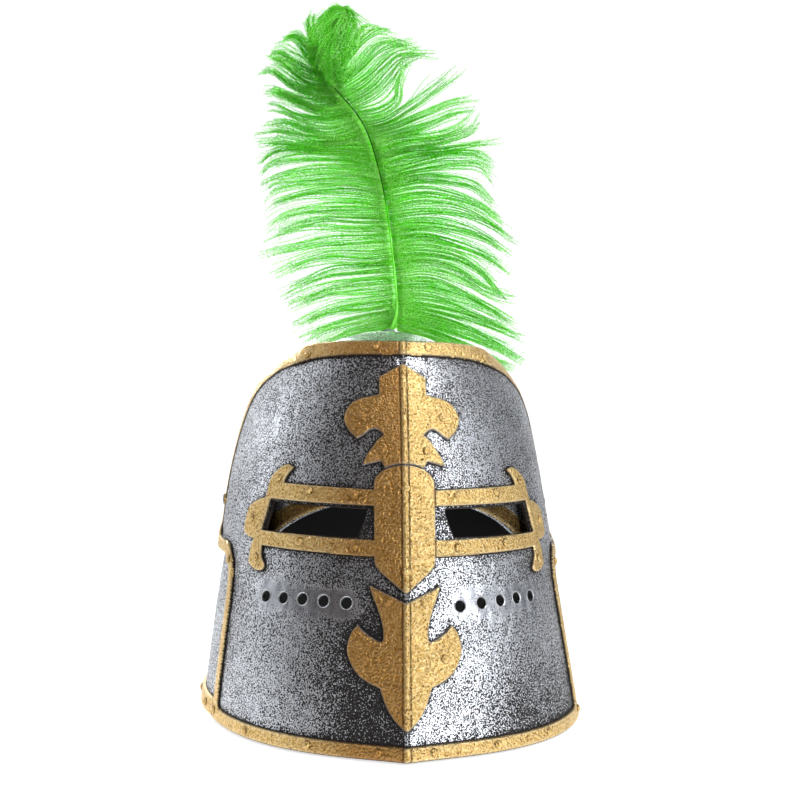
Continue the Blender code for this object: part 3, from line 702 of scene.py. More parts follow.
@dataclass(frozen=True)
class Outline:
    """A closed line on an unrolled surface, running counter-clockwise, its points in mm."""

    path: Array

    @classmethod
    def through(cls, points: Array, kinds: Sequence[Kind], step: float = 0.8) -> "Outline":
        """Line through points, straight between corners, and a Catmull-Rom cubic elsewhere.

        Args:
            points: places on the unrolled surface.
            kinds: corner or smooth, for each.
            step: longest stretch between two points of the line, mm.

        Returns:
            The outline.
        """
        made = []
        count = len(points)
        for i in range(count):
            j = (i + 1) % count
            p, q = points[i], points[j]
            before = points[i - 1] if kinds[i] is S else 2 * p - q
            after = points[(j + 1) % count] if kinds[j] is S else 2 * q - p
            steps = max(1, math.ceil(np.linalg.norm(q - p) / step))
            made.append(cubic(before, p, q, after, (np.arange(steps) / steps)[:, None]))
        path = np.concatenate(made)
        after = np.roll(path, -1, axis=0)
        if (path[:, 0] * after[:, 1] - after[:, 0] * path[:, 1]).sum() < 0:
            path = path[::-1]
        return cls(path)

    def distance(self, at: Array) -> tuple[Array, Array]:
        """Distance from the line, positive inside, and the direction in which it grows.

        Each place is compared with its nearest point on every stretch of the line, and is inside
        where a level ray from it crosses the line an odd number of times.

        Args:
            at: places on the unrolled surface.

        Returns:
            Distances in mm and unit directions.
        """
        start = self.path
        end = np.roll(start, -1, axis=0)
        run = end - start
        size = np.maximum((run ** 2).sum(1), 1e-12)
        rise = np.where(run[:, 1] == 0.0, 1e-12, run[:, 1])
        depth, way = np.empty(len(at)), np.empty((len(at), 2))
        for first in range(0, len(at), 2048):
            spot = at[first:first + 2048]
            a = spot[:, :1] - start[:, 0]
            b = spot[:, 1:] - start[:, 1]
            t = np.clip((a * run[:, 0] + b * run[:, 1]) / size, 0.0, 1.0)
            gap = (a - t * run[:, 0]) ** 2 + (b - t * run[:, 1]) ** 2
            near = gap.argmin(1)
            pick = np.arange(len(spot))
            vector = np.stack([a[pick, near] - t[pick, near] * run[near, 0],
                               b[pick, near] - t[pick, near] * run[near, 1]], 1)
            crossing = ((b < 0) != (spot[:, 1:] < end[:, 1])) & (a < b / rise * run[:, 0])
            sign = np.where(crossing.sum(1) % 2 == 1, 1.0, -1.0)
            depth[first:first + 2048] = sign * np.sqrt(gap[pick, near])
            way[first:first + 2048] = unit(vector) * sign[:, None]
        return depth, way


@dataclass(frozen=True)
class Region:
    """What is left of an outline once openings are taken out of it.

    Attributes:
        outer: the outline.
        holes: outlines of openings.
        rounds: round openings, rows of place along, height and radius.
        ease: how much wider than their outlines the openings are, mm.
    """

    outer: Outline | None
    holes: tuple[Outline, ...] = ()
    rounds: tuple[tuple[float, float, float], ...] = ()
    ease: float = 0.0

    def distance(self, at: Array) -> tuple[Array, Array]:
        """Distance from the nearest edge, positive on the region, and the way it grows.

        Args:
            at: places on the unrolled surface.

        Returns:
            Distances in mm and unit directions.
        """
        if self.outer is None:
            depth, way = np.full(len(at), 1e3), np.zeros((len(at), 2))
        else:
            depth, way = self.outer.distance(at)
        found = []
        for hole in self.holes:
            inside, direction = hole.distance(at)
            found.append((-inside - self.ease, -direction))
        for along, height, radius in self.rounds:
            vector = at - (along, height)
            found.append((np.linalg.norm(vector, axis=1) - radius, unit(vector)))
        for other, direction in found:
            nearer = other < depth
            depth = np.where(nearer, other, depth)
            way = np.where(nearer[:, None], direction, way)
        return depth, way


def cut_sheet(flat: Array, faces: Array, region: Region, spacing: float,
              shoulder: float) -> tuple[Array, Array, Array]:
    """Cut a flat triangulated sheet to a region.

    Points near the edge, or in the shoulder inside it, first slide onto the nearest of a set of
    evenly spaced lines parallel to it.  Triangles that still cross the edge are cut where the
    distance is zero.

    Args:
        flat: rows of place along, height and any further values to carry.
        faces: triangles.
        region: what to keep.
        spacing: distance between the parallel lines, mm.
        shoulder: width of the strip that has them, mm.

    Returns:
        The kept points, their distances from the edge, and the kept triangles.
    """
    flat = flat.copy()
    depth, way = region.distance(flat[:, :2])
    target = np.round(depth / spacing) * spacing
    slide = (target >= 0.0) & (target <= shoulder + 1e-6)
    flat[slide, :2] += (target - depth)[slide, None] * way[slide]
    flat[slide, 2:] = np.nan
    depth = np.where(slide, np.where(target == 0.0, 0.0, target), depth)
    inside = depth >= 0.0
    kept = inside[faces].sum(1)
    whole = faces[kept == 3]
    on_edge = (depth[whole] == 0.0).all(1)
    if on_edge.any():
        centre, _ = region.distance(flat[whole[on_edge], :2].mean(1))
        whole = np.concatenate([whole[~on_edge], whole[on_edge][centre > 0.0]])
    one, two = faces[kept == 1], faces[kept == 2]
    order = np.arange(3)
    one = np.take_along_axis(one, (inside[one].argmax(1)[:, None] + order) % 3, 1)
    two = np.take_along_axis(two, (inside[two].argmin(1)[:, None] + order) % 3, 1)
    pairs = np.concatenate([one[:, [0, 1]], one[:, [0, 2]], two[:, [1, 0]], two[:, [2, 0]]])
    unique, number = np.unique(pairs, axis=0, return_inverse=True)
    held, lost = unique[:, 0], unique[:, 1]
    t = (depth[held] / (depth[held] - depth[lost]))[:, None]
    cuts = flat[held] * (1 - t) + flat[lost] * t
    index = np.where(depth[held] == 0.0, held, len(flat) + np.arange(len(held)))[number.ravel()]
    one_b, one_c, two_b, two_c = np.split(index, np.cumsum([len(one), len(one), len(two)]))
    made = np.concatenate([whole, np.stack([one[:, 0], one_b, one_c], 1),
                           np.stack([two_b, two[:, 1], two[:, 2]], 1),
                           np.stack([two_b, two[:, 2], two_c], 1)])
    good = (made[:, 0] != made[:, 1]) & (made[:, 1] != made[:, 2]) & (made[:, 2] != made[:, 0])
    made = made[good]
    used, faces = np.unique(made, return_inverse=True)
    flat = np.concatenate([flat, cuts])[used]
    depth = np.concatenate([depth, np.zeros(len(cuts))])[used]
    return flat, depth, faces.reshape(-1, 3)


def keel_columns(low: float, high: float, step: float) -> Array:
    """Places along a section with a close set of columns over the keel's bead.

    Args:
        low: least place, mm.
        high: greatest place, mm.
        step: distance between columns beside the bead, mm.

    Returns:
        The places, rising.
    """
    half = np.array([0.45, 0.9, 1.3, 1.7, 2.1, 2.6])
    bead = np.concatenate([-half[::-1], [0.0], half])
    right = np.arange(half[-1] + step, high + step, step)
    left = -np.arange(half[-1] + step, -low + step, step)[::-1]
    return np.concatenate([left, bead, right])


def keel_bead(along: Array) -> tuple[Array, Array]:
    """Height of the bead down the keel, and how deep in its two grooves a place lies.

    The bead is a bell, exp(-(x/width)^2), between two narrower bells cut at its sides.

    Args:
        along: distance from the keel, mm.

    Returns:
        Heights in mm, and groove values from 0 to 1.
    """
    groove = np.exp(-((np.abs(along) - GROOVE_AT) / GROOVE_WIDTH) ** 2)
    return BEAD_HEIGHT * np.exp(-(along / BEAD_WIDTH) ** 2) - GROOVE_DEPTH * groove, groove


@dataclass(frozen=True)
class Relief:
    """Height across a raised trim: a short wall, a quarter-round shoulder, then level.

    Attributes:
        top: height of the level part over the plate, mm.
        wall: height where the shoulder starts, mm.
        radius: width of the shoulder, mm.
        foot: height of the underside, mm, sunk in the plate.
    """

    top: float = TRIM_TOP
    wall: float = 0.75
    radius: float = 1.35
    foot: float = -0.5

    def lift(self, depth: Array) -> Array:
        """Height at a distance from the edge, along the quarter round."""
        across = 1.0 - np.clip(depth / self.radius, 0.0, 1.0)
        return self.wall + (self.top - self.wall) * np.sqrt(1.0 - across ** 2)


def side_thinning(flat: Array) -> Array:
    """How far the border thins out along the visor's upper rear edges, 0 to 0.72 of its relief."""
    return 0.72 * eased(np.abs(flat[:, 0]), 66.0, 84.0) * eased(flat[:, 1], 100.0, 112.0)


def trim_shape(surface: Unrolled, region: Region, columns: Array, rows: Array, spacing: float,
               relief: Relief, bead: bool, thinned: bool = False) -> Shape:
    """Raised trim on a surface: a grid cut to the region and lifted by its edge distance.

    Args:
        surface: what it lies on.
        region: its outline.
        columns: places of the grid along the section.
        rows: heights of the grid.
        spacing: distance between the lines that the shoulder's points lie on.
        relief: its height.
        bead: whether the keel's bead runs over it.
        thinned: whether it thins out along the visor's rear edges.

    Returns:
        The closed trim.
    """
    s, z = np.meshgrid(columns, rows)
    flat = np.stack([s.ravel(), z.ravel()], 1)
    flat, depth, faces = cut_sheet(flat, grid_faces(len(rows), len(columns)), region, spacing,
                                   relief.radius)
    lift = relief.lift(depth) + 0.05 * ripple(flat[:, 0], flat[:, 1], 7.0, 5)
    if thinned:
        lift = lift * (1.0 - side_thinning(flat))
    groove = np.zeros(len(flat))
    if bead:
        ridge, groove = keel_bead(flat[:, 0])
        inside = eased(depth, 0.0, 1.0)
        lift = lift + ridge * inside
        groove = groove * inside
    edge = np.exp(-((depth - 0.5) / 0.5) ** 2)
    outer = surface.place(flat, lift)
    inner = surface.place(flat, np.full(len(flat), relief.foot))
    # the keel's grooves carry the corner mark: antiquing wash and painted shade
    sheet = closed_sheet(outer, inner, faces, {"crevice": groove, "edge": edge}, 0)
    # the brush missed the wall, so it and the outer half of the shoulder's foot take the trim's third
    # finish:
    # bare silver on the ornaments, dark wash as painted shadow on the border
    sheet.coats[:len(faces)] = np.where(depth[faces].mean(1) < 0.5 * spacing, 2, 0)
    sheet.coats[len(faces):-len(faces)] = 2
    return sheet


def carried(surface: Unrolled, outline: Outline, profile: Sequence[tuple[float, float]],
            coat: int) -> Shape:
    """Closed tube: a profile carried along an outline.

    A point is the outline's own point, moved by the profile's inset along the line's inward
    normal, and raised over the surface by the profile's lift.

    Args:
        surface: what the outline lies on.
        outline: the line.
        profile: rows of inset and lift, from the outer wall's foot up, over and down inside.
        coat: finish number.

    Returns:
        The tube.
    """
    path = outline.path
    direction = unit(np.roll(path, -2, axis=0) - np.roll(path, 2, axis=0))
    inward = np.stack([-direction[:, 1], direction[:, 0]], 1)
    rows = np.array(profile)
    flat = path[None] + rows[:, :1, None] * inward[None]
    lift = np.broadcast_to(rows[:, 1:], (len(rows), len(path)))
    points = surface.place(flat, lift).reshape(-1, 3)
    faces = grid_faces(len(rows), len(path), True, True)
    return Shape(points, faces, np.full(len(faces), coat))


# Profiles, rows of inset and lift.  Dark line where a trim meets its plate: antiquing wash and painted
# shade
CREVICE_LINE = ((-0.62, -0.25), (-0.5, 0.10), (0.0, 0.16), (0.35, 0.1), (0.35, -0.3))
# Lining of an eye slot, dark: painted shade on the slot's walls
SLOT_LINING = ((-0.6, -2.1), (-0.6, -0.2), (0.25, -0.2), (0.25, -2.1))
# Radius and height of a rivet's rings
RIVET = ((2.45, -0.7), (2.45, 0.12), (2.28, 0.55), (1.80, 0.98), (1.10, 1.28), (0.45, 1.40))


def rivets(surface: Unrolled, flat: Array, seat: float) -> Shape:
    """Low domed rivets on a trim.

    Args:
        surface: what carries the trim.
        flat: their places.
        seat: height of the trim's face, mm.

    Returns:
        All of them as one shape.
    """
    normal = surface.outward(flat)
    centres = surface.place(flat, np.full(len(flat), seat))
    # their feet carry the corner mark: a dark ring of wash and painted shade
    return turned(RIVET, centres, normal, 20, low_mark=1.0)


def mirrored_rows(half: Sequence[tuple[float, float, Kind]]) -> tuple[Array, list[Kind]]:
    """A whole outline from its right half, which starts and ends on the keel."""
    rows = list(half) + [(-x, z, kind) for x, z, kind in reversed(half[1:-1])]
    return np.array([row[:2] for row in rows], float), [row[2] for row in rows]


# Finishes

class Finish:
    """A coat of one name."""

    name: str

    def start(self) -> tuple[bpy.types.Material, NodeKit, bpy.types.Node]:
        """Make an empty material of this name.
        """
        made = bpy.data.materials.new(self.name)
        made.use_nodes = True
        return made, NodeKit(made.node_tree), made.node_tree.nodes["Principled BSDF"]


@dataclass(frozen=True)
class AntiqueSilver(Finish):
    """Antiqued silver paint on hammered moulded plastic.

    A pale bluish metallic coat over a black-brown wash that stays in the pits.  The pits are about
    1.5 mm apart; they are what gives the helm its speckle.  Worn patches have lost the wash and look
    smooth and light.  Where the wear mark is below zero the wash is heavier, which is painted shade,
    and the corner mark adds wash and painted shade round the trims.
    """

    name: str = "antiqued_silver_paint_on_hammered_plastic"
    light: str = "#DFE3EB"
    mid: str = "#989CA6"
    wash: str = "#0D0907"
    metallic: float = 0.9
    roughness: float = 0.30
    wash_roughness: float = 0.72

    def build(self) -> bpy.types.Material:
        """Make the material.

        Returns:
            The material.
        """
        made, kit, shader = self.start()
        place, worn, crevice = kit.place(), kit.mark("worn"), kit.mark("crevice")
        pits = kit.noise(place, 1320.0, 0.9)
        # clouds of heavier and lighter wash, 25 mm
        cloud = kit.noise(place, 40.0, 3.0, 0.6)
        # brushed-off strokes drawn out upwards, 3 mm by 12 mm
        drawn = kit.add("ShaderNodeMapping", {"Vector": place, "Scale": (1.0, 1.0, 0.25)}).outputs[0]
        stroke = kit.noise(drawn, 300.0, 3.0, 0.65)
        level = pits
        # the wear mark below zero and the corner mark are painted shade: they bring in more of the dark
        # wash
        for value, share in ((cloud, 0.16), (stroke, 0.08), (worn, 0.17), (crevice, -0.16)):
            level = kit.scaled(value, share, level)
        # 0.50 of noise, 0.08 of cloud and 0.04 of stroke make the middle value 0.62
        cover = kit.ramp(level, ((0.578, 0.0), (0.600, 0.5), (0.622, 1.0)))
        streak = kit.math('ADD', stroke, kit.scaled(worn, -0.5, 0.62))
        tone = kit.ramp(streak, ((0.50, self.mid), (1.0, self.light)))
        height = kit.math('MULTIPLY', pits, kit.scaled(worn, -0.8, 1.0))
        kit.feed(shader, {
            "Base Color": kit.mixed(cover, self.wash, tone),
            "Metallic": kit.scaled(cover, self.metallic, 0.0),
            "Roughness": kit.scaled(cover, self.roughness - self.wash_roughness, self.wash_roughness),
            "Normal": kit.bumped(height, 0.5, 0.0006)})
        return made


@dataclass(frozen=True)
class GoldPaint(Finish):
    """Matt gold paint on pebbled moulded plastic.

    A pale yellow metallic coat, browner in its hollows, with sparse brown specks of about a
    millimetre; edges are rubbed lighter, the grooves keep a brown wash that is partly painted shade,
    and the keel's -X side is painted browner as painted shade.
    """

    name: str = "matt_gold_paint_on_pebbled_plastic"
    hollow: str = "#C9A057"
    body: str = "#E8C681"
    top: str = "#F4DBA2"
    light: str = "#FAE8C0"
    brown: str = "#7A4A18"
    # colour of the painted shade on the keel's -X side
    keel_side_shade: str = "#94601F"
    wash: str = "#2A1808"
    metallic: float = 0.85
    roughness: float = 0.38

    def build(self) -> bpy.types.Material:
        """Make the material.

        Returns:
            The material.
        """
        made, kit, shader = self.start()
        place, edge, crevice = kit.place(), kit.mark("edge"), kit.mark("crevice")
        # pebbles of 1.2 mm, specks of 1 mm, and 8 mm patches that have more specks
        pebble = kit.noise(place, 820.0, 1.5)
        speck = kit.noise(place, 930.0, 1.0)
        patch = kit.noise(place, 120.0, 3.0)
        tone = kit.ramp(pebble, ((0.33, self.hollow), (0.50, self.body), (0.66, self.top)))
        specks = kit.ramp(kit.scaled(patch, -0.3, speck), ((0.155, 1.0), (0.19, 0.0)))
        spotted = kit.mixed(specks, tone, self.brown)
        edged = kit.mixed(kit.math('MULTIPLY', edge, 0.55), spotted, self.light)
        # painted shade: browner on the keel's -X side, from 0.4 mm beside it, dying out by 60 mm
        across = kit.add("ShaderNodeSeparateXYZ", {0: place}).outputs["X"]
        near = kit.ranged(across, -0.0004, -0.0022, 0.72)
        far = kit.ranged(across, -0.060, -0.028)
        keel_side_shaded = kit.mixed(kit.math('MULTIPLY', near, far), edged, self.keel_side_shade)
        kit.feed(shader, {
            "Base Color": kit.mixed(kit.math('MULTIPLY', crevice, 0.85), keel_side_shaded, self.wash),
            "Metallic": self.metallic,
            "Roughness": kit.scaled(specks, 0.2, self.roughness),
            "Normal": kit.bumped(pebble, 0.9, 0.0015)})
        return made


@dataclass(frozen=True)
class PlainCoat(Finish):
    """A paint, plastic or metal of one colour with a fine mottle.

    Attributes:
        name: what the real one is.
        dark: colour in the mottle's hollows.
        light: colour on its tops.
        metallic: share of metal.
        roughness: middle roughness.
        grain: mottle's size, mm.
        bump: mottle's depth, mm.
    """

    name: str
    dark: str
    light: str
    metallic: float
    roughness: float
    grain: float
    bump: float

    def build(self) -> bpy.types.Material:
        """Make the material.

        Returns:
            The material.
        """
        made, kit, shader = self.start()
        mottle = kit.noise(kit.place(), 1000.0 / self.grain, 4.0, 0.6)
        kit.feed(shader, {
            "Base Color": kit.ramp(mottle, ((0.35, self.dark), (0.65, self.light))),
            "Metallic": self.metallic,
            "Roughness": kit.scaled(mottle, 0.25, self.roughness - 0.12),
            "Normal": kit.bumped(mottle, 0.4, self.bump * MM)})
        return made


@dataclass(frozen=True)
class DyedFeather(Finish):
    """Ostrich feather dyed bright green.

    Each barb has taken the dye a little differently, which its shade mark gives, and the thin
    barbules let light through, so they are paler.
    """

    name: str = "dyed_ostrich_feather"
    deep: str = "#1E6A0A"
    dark: str = "#60DC28"
    body: str = "#8CF248"
    light: str = "#C2FC98"

    def build(self) -> bpy.types.Material:
        """Make the material.

        Returns:
            The material.
        """
        made, kit, shader = self.start()
        # dye taken unevenly over 12 mm patches
        dye = kit.noise(kit.place(), 80.0, 2.0)
        tone = kit.ramp(kit.scaled(dye, 0.35, kit.mark("shade")),
                        ((0.0, self.deep), (0.25, self.dark), (0.55, self.body), (1.0, self.light)))
        thin = kit.add("ShaderNodeBsdfTranslucent", {"Color": tone}).outputs[0]
        both = kit.add("ShaderNodeMixShader", {0: 0.6, 1: shader.outputs[0], 2: thin})
        kit.feed(shader, {"Base Color": tone, "Roughness": 0.6, "Specular IOR Level": 0.15})
        kit.feed(kit.tree.nodes["Material Output"], {"Surface": both.outputs[0]})
        return made


@dataclass
class Finishes:
    """All finishes of the helm, made once."""

    silver: bpy.types.Material = field(default_factory=lambda: AntiqueSilver().build())
    gold: bpy.types.Material = field(default_factory=lambda: GoldPaint().build())
    # a darker copy of the gold paint, painted shade, for the band that lies in shade behind the visor
    shaded_gold: bpy.types.Material = field(default_factory=lambda: GoldPaint(
        "gold_paint_darkened_as_painted_shade", "#3C2E14", "#5E4A22", "#83693A", "#E6CD96").build())
    # black-brown wash that the painter left in the corners, with painted shade there; also the dark of the
    # border's walls and the eye slots' linings, painted shadow
    wash: bpy.types.Material = field(default_factory=lambda: PlainCoat(
        "antiquing_wash_and_painted_shade_in_corners", "#0D0906", "#2B1D10", 0.1, 0.62, 1.2, 0.1).build())
    # inside of the shell, unpainted moulding
    inside: bpy.types.Material = field(default_factory=lambda: PlainCoat(
        "bare_black_moulded_plastic", "#0B0B0C", "#16161A", 0.0, 0.6, 3.0, 0.15).build())
    steel: bpy.types.Material = field(default_factory=lambda: PlainCoat(
        "dull_steel_rivet", "#6F7278", "#A9ACB2", 0.95, 0.42, 0.8, 0.05).build())
    rim: bpy.types.Material = field(default_factory=lambda: PlainCoat(
        "rubbed_silver_paint_on_hole_rims", "#A5A8AE", "#D9DBE0", 0.85, 0.38, 1.5, 0.08).build())
    feather: bpy.types.Material = field(default_factory=lambda: DyedFeather().build())


# The visor

# Visor outline seen from the side: y from the widest section, height
VISOR_PROFILE = ((-54.4, 0.5, C), (-54.2, 40.0, S), (-53.6, 68.0, S), (-50.5, 85.5, S), (-40.0, 93.0, S),
                 (-20.0, 93.5, S), (-7.5, 94.0, S), (-1.3, 104.0, S), (-1.3, 140.0, S), (-5.0, 165.0, S),
                 (-11.5, 187.0, S), (-20.0, 201.0, S), (-32.0, 211.3, S), (-46.0, 216.6, S),
                 (-68.0, 219.2, S), (-83.0, 219.8, C))
# Edge of the silver inside the border: from the side up to the temples, then from the front
FIELD_SIDE = ((-69.0, 8.4, S), (-64.6, 9.4, S), (-62.6, 13.0, S), (-61.6, 28.0, S), (-61.2, 50.0, S),
              (-60.2, 70.5, S), (-57.6, 84.0, S), (-53.8, 92.0, S), (-47.0, 98.6, S), (-41.0, 100.8, S),
              (-24.0, 101.2, S), (-12.6, 102.4, S), (-8.4, 111.0, S), (-8.2, 140.0, S), (-12.8, 166.0, S),
              (-20.0, 187.0, S))
FIELD_FRONT = ((70.0, 198.7, S), (65.0, 202.2, S), (55.0, 205.9, S), (47.0, 208.4, S), (38.0, 209.9, S),
               (25.0, 211.2, S), (0.0, 211.9, S))

BROW = ((0.0, 207.0, C), (12.8, 199.3, C), (12.9, 190.0, C), (17.0, 188.8, S), (22.0, 187.6, S),
        (27.8, 184.4, S), (31.0, 179.4, S), (31.7, 175.0, S), (29.6, 170.0, S), (25.1, 165.5, C),
        (21.5, 167.6, S), (18.5, 170.1, S), (15.4, 171.1, S), (12.7, 169.8, S), (10.9, 168.0, C),
        (13.6, 165.8, S), (16.8, 161.5, S), (20.0, 157.0, S), (22.7, 151.2, C), (12.5, 154.0, C),
        (10.4, 150.4, C), (6.0, 152.1, S), (0.0, 152.9, S))
NASAL = ((0.0, 152.3, S), (6.0, 151.5, S), (11.3, 149.2, S), (15.4, 145.2, S), (16.4, 139.5, S),
         (16.35, 120.0, S), (16.3, 102.5, S), (14.9, 97.9, S), (9.0, 92.4, S), (0.0, 85.2, C))
CHIN = ((0.0, 80.6, C), (6.7, 83.5, S), (14.7, 87.0, S), (19.0, 89.0, C), (17.2, 83.5, S), (14.5, 76.5, S),
        (12.2, 69.0, S), (11.8, 62.0, S), (12.8, 60.2, C), (17.0, 61.8, S), (22.0, 65.2, S),
        (24.9, 68.2, C), (28.3, 63.9, S), (30.5, 56.2, S), (29.3, 50.0, S), (25.6, 43.5, S),
        (19.4, 39.0, S), (13.5, 36.7, C), (11.9, 31.6, S), (8.8, 24.9, S), (4.6, 19.5, S), (0.0, 15.7, C))
EYE_FRAME = ((15.2, 139.0, C), (64.9, 139.4, C), (63.0, 143.5, S), (59.2, 148.3, C), (63.4, 149.3, S),
             (67.9, 146.4, S), (71.9, 141.0, S), (73.9, 133.4, S), (75.0, 130.0, C), (77.5, 129.2, S),
             (82.5, 125.2, S), (85.0, 119.0, S), (86.2, 110.0, S), (84.5, 107.4, S), (81.0, 106.6, C),
             (82.3, 103.3, S), (83.2, 97.3, S), (83.4, 93.0, S), (80.0, 90.0, S), (76.5, 90.5, S),
             (75.0, 93.2, S), (76.5, 97.5, S), (76.8, 100.5, S), (76.5, 103.8, C), (15.0, 103.7, C))
EYE_SLOT = ((22.2, 128.9, S), (24.5, 129.1, C), (71.5, 128.8, C), (76.3, 112.3, C), (29.0, 113.2, S),
            (26.4, 114.0, S), (25.0, 116.5, S), (21.4, 126.6, S))

# Opening of an eye frame: the slot, drawn out level under the nasal plate
FRAME_OPENING = ((12.0, 130.1, C), (24.5, 130.1, C), (71.9, 129.8, C), (76.8, 112.3, C), (26.0, 112.5, C),
                 (12.0, 112.5, C))

# Scuffs on the plate: place along, height, and half size each way
SCUFFS = ((-84.0, 171.0, 2.0, 8.0), (-96.0, 17.0, 4.0, 6.0), (62.0, 150.0, 3.0, 9.0))

# Rivets seen from the front: x, height
BROW_RIVETS = ((21.6, 177.2), (-21.6, 177.2), (11.8, 159.5), (-11.8, 159.5))
NASAL_RIVETS = ((0.0, 140.0), (0.0, 96.4))
CHIN_RIVETS = ((9.3, 80.4), (-9.3, 80.4), (20.8, 51.0), (-20.8, 51.0), (0.0, 25.6))
EYE_RIVETS = ((51.4, 136.2), (27.8, 135.6), (67.6, 141.4), (81.8, 117.6), (56.5, 108.6), (27.8, 107.9),
              (79.5, 97.0))
BORDER_RIVETS = ((14.4, 4.4), (50.7, 4.4), (83.0, 4.4), (14.2, 215.9), (50.4, 210.0))
# Rivets seen from the side: y from the widest section, height
BORDER_SIDE_RIVETS = ((-49.5, 91.5), (-59.0, 6.0))


class Dressed:
    """Pieces of one body, each standing for the CAD node of its own name."""

    BODY = ""

    def put(self, name: str, shape: Shape, finishes: list, slot: str, crease: float = 38.0) -> None:
        """Place the piece of one CAD node."""
        make_piece(name + "_dressed", shape, finishes, self.BODY, (name,), crease)


@dataclass
class Visor(Dressed):
    """The hinged visor: plate, border, keel ornaments and eye frames.

    Attributes:
        finishes: the helm's finishes.
        wall: thickness of the plate, mm.
        plate_step: grid of the plate, mm.
        trim_step: grid of the ornaments, mm.
        border_step: grid of the border, mm.
        hole_radius: breath holes, mm.
        hole_places: breath holes' places seen from the front, mm.
        eye_shift: how far the slots and frames sit to +X of the middle, mm.
    """

    BODY = "visor"
    finishes: Finishes
    wall: float = 2.0
    plate_step: float = 1.45
    trim_step: float = 0.52
    border_step: float = 0.95
    hole_radius: float = 3.15
    hole_places: tuple = ((-73.5, 77.2), (-64.2, 78.0), (-54.1, 78.8), (-43.0, 79.0), (-31.0, 79.0),
                          (30.5, 77.6), (43.1, 78.3), (54.6, 78.5), (65.2, 78.5), (74.8, 78.0))
    eye_shift: float = 1.2

    def __post_init__(self) -> None:
        """Lay out every outline on the unrolled surface."""
        outer_right = [VISOR.from_side(y, z, 1.0) for y, z, _ in VISOR_PROFILE]
        outer_left = [VISOR.from_side(y, z, -1.0) for y, z, _ in reversed(VISOR_PROFILE)]
        kinds = [row[2] for row in VISOR_PROFILE]
        self.outer = Outline.through(np.array(outer_right + outer_left), kinds + kinds[::-1], 1.2)
        inner_right = ([VISOR.from_side(y, z, 1.0) for y, z, _ in FIELD_SIDE]
                       + [VISOR.from_front(x, z) for x, z, _ in FIELD_FRONT])
        inner_left = ([VISOR.from_front(-x, z) for x, z, _ in reversed(FIELD_FRONT[:-1])]
                      + [VISOR.from_side(y, z, -1.0) for y, z, _ in reversed(FIELD_SIDE)])
        points = np.array(inner_right + inner_left)
        # the bottom run is level, so the first and last points close it as corners
        kinds = [C] + [S] * (len(points) - 2) + [C]
        self.inner = Outline.through(points, kinds, 1.0)
        self.ornaments = {}
        for name, half in (("brow_fleur", BROW), ("nasal_plate", NASAL), ("chin_fleur", CHIN)):
            rows, kinds = mirrored_rows(half)
            self.ornaments[name] = Outline.through(VISOR.from_front(rows[:, 0], rows[:, 1]), kinds)
        self.frames, self.slots, self.openings = {}, {}, {}
        for name, side in (("left", 1.0), ("right", -1.0)):
            for rows, store in ((EYE_FRAME, self.frames), (EYE_SLOT, self.slots),
                                (FRAME_OPENING, self.openings)):
                flat = np.array([VISOR.from_front(side * x + self.eye_shift, z) for x, z, _ in rows])
                store[name] = Outline.through(flat, [row[2] for row in rows])
        self.holes = VISOR.from_front(*np.array(self.hole_places).T)
        self.pivots = np.array([VISOR.from_side(HINGE_Y, HINGE_Z, s) for s in (-1.0, 1.0)])

    def rounds(self, radius: float, places: Array) -> tuple:
        """Round openings of one radius for a region."""
        return tuple((float(s), float(z), radius) for s, z in places)

    def build_plate(self) -> None:
        """The hammered plate: a grid cut to its outline, slots and holes, 2 mm thick.

        Its outer face waves by a tenth of a millimetre, and carries the keel's bead.
        """
        rounds = self.rounds(self.hole_radius + 0.35, self.holes) + self.rounds(PIN_HOLE, self.pivots)
        region = Region(self.outer, tuple(self.slots.values()), rounds, 0.3)
        reach = np.abs(self.outer.path[:, 0]).max() + 1.0
        columns = keel_columns(-reach, reach, self.plate_step)
        rows = np.linspace(VISOR_FOOT, VISOR_TOP, 152)
        s, z = np.meshgrid(columns, rows)
        flat, depth, faces = cut_sheet(np.stack([s.ravel(), z.ravel()], 1),
                                       grid_faces(len(rows), len(columns)), region,
                                       self.plate_step * 0.8, 0.0)
        ridge, groove = keel_bead(flat[:, 0])
        lift = 0.10 * ripple(flat[:, 0], flat[:, 1], 9.0, 1) + 0.8 * ridge - 0.05
        lift = np.where(depth < 0.5, -0.05, lift)
        # the corner mark darkens the silver within a few millimetres of the trims and in the keel's
        # grooves: antiquing wash and painted shade
        covers = (*self.ornaments.values(), *self.frames.values())
        shut = [outline.distance(flat)[0] for outline in covers]
        nearest = np.minimum(-np.max(shut, axis=0), self.inner.distance(flat)[0])
        crevice = np.clip(np.exp(-np.maximum(nearest, 0.0) / 1.5) * 0.8 + 0.9 * groove, 0.0, 1.0)
        inner = VISOR.place(flat, np.full(len(flat), -self.wall))
        sheet = closed_sheet(VISOR.place(flat, lift), inner, faces,
                             {"crevice": crevice, "worn": self.worn(flat)})
        coats = [self.finishes.silver, self.finishes.inside, self.finishes.rim]
        self.put("visor_plate", Shape.joined([sheet, self.hole_rims()]), coats, "hammered_silver", 42.0)

    def worn(self, flat: Array) -> Array:
        """How far the wash has been rubbed off: a ragged band through the breath holes on each side,
        and a few scuffs; below zero is painted shade, darker beside the keel on the -X side and low
        down on the +X side.

        Args:
            flat: places on the plate.

        Returns:
            Values from -1 to 1.
        """
        s, z = flat[:, 0], flat[:, 1]
        ragged = ripple(s, z, 11.0, 3) * 2.4
        band = (1 - eased(np.abs(z - 78.0) + ragged, 5.0, 9.5)) * eased(np.abs(s) + ragged, 24.0, 31.0)
        band = band * (1 - eased(np.abs(s) + ragged, 88.0, 97.0))
        scuffs = sum(np.exp(-(((s - a) / w) ** 2 + ((z - b) / h) ** 2)) for a, b, w, h in SCUFFS)
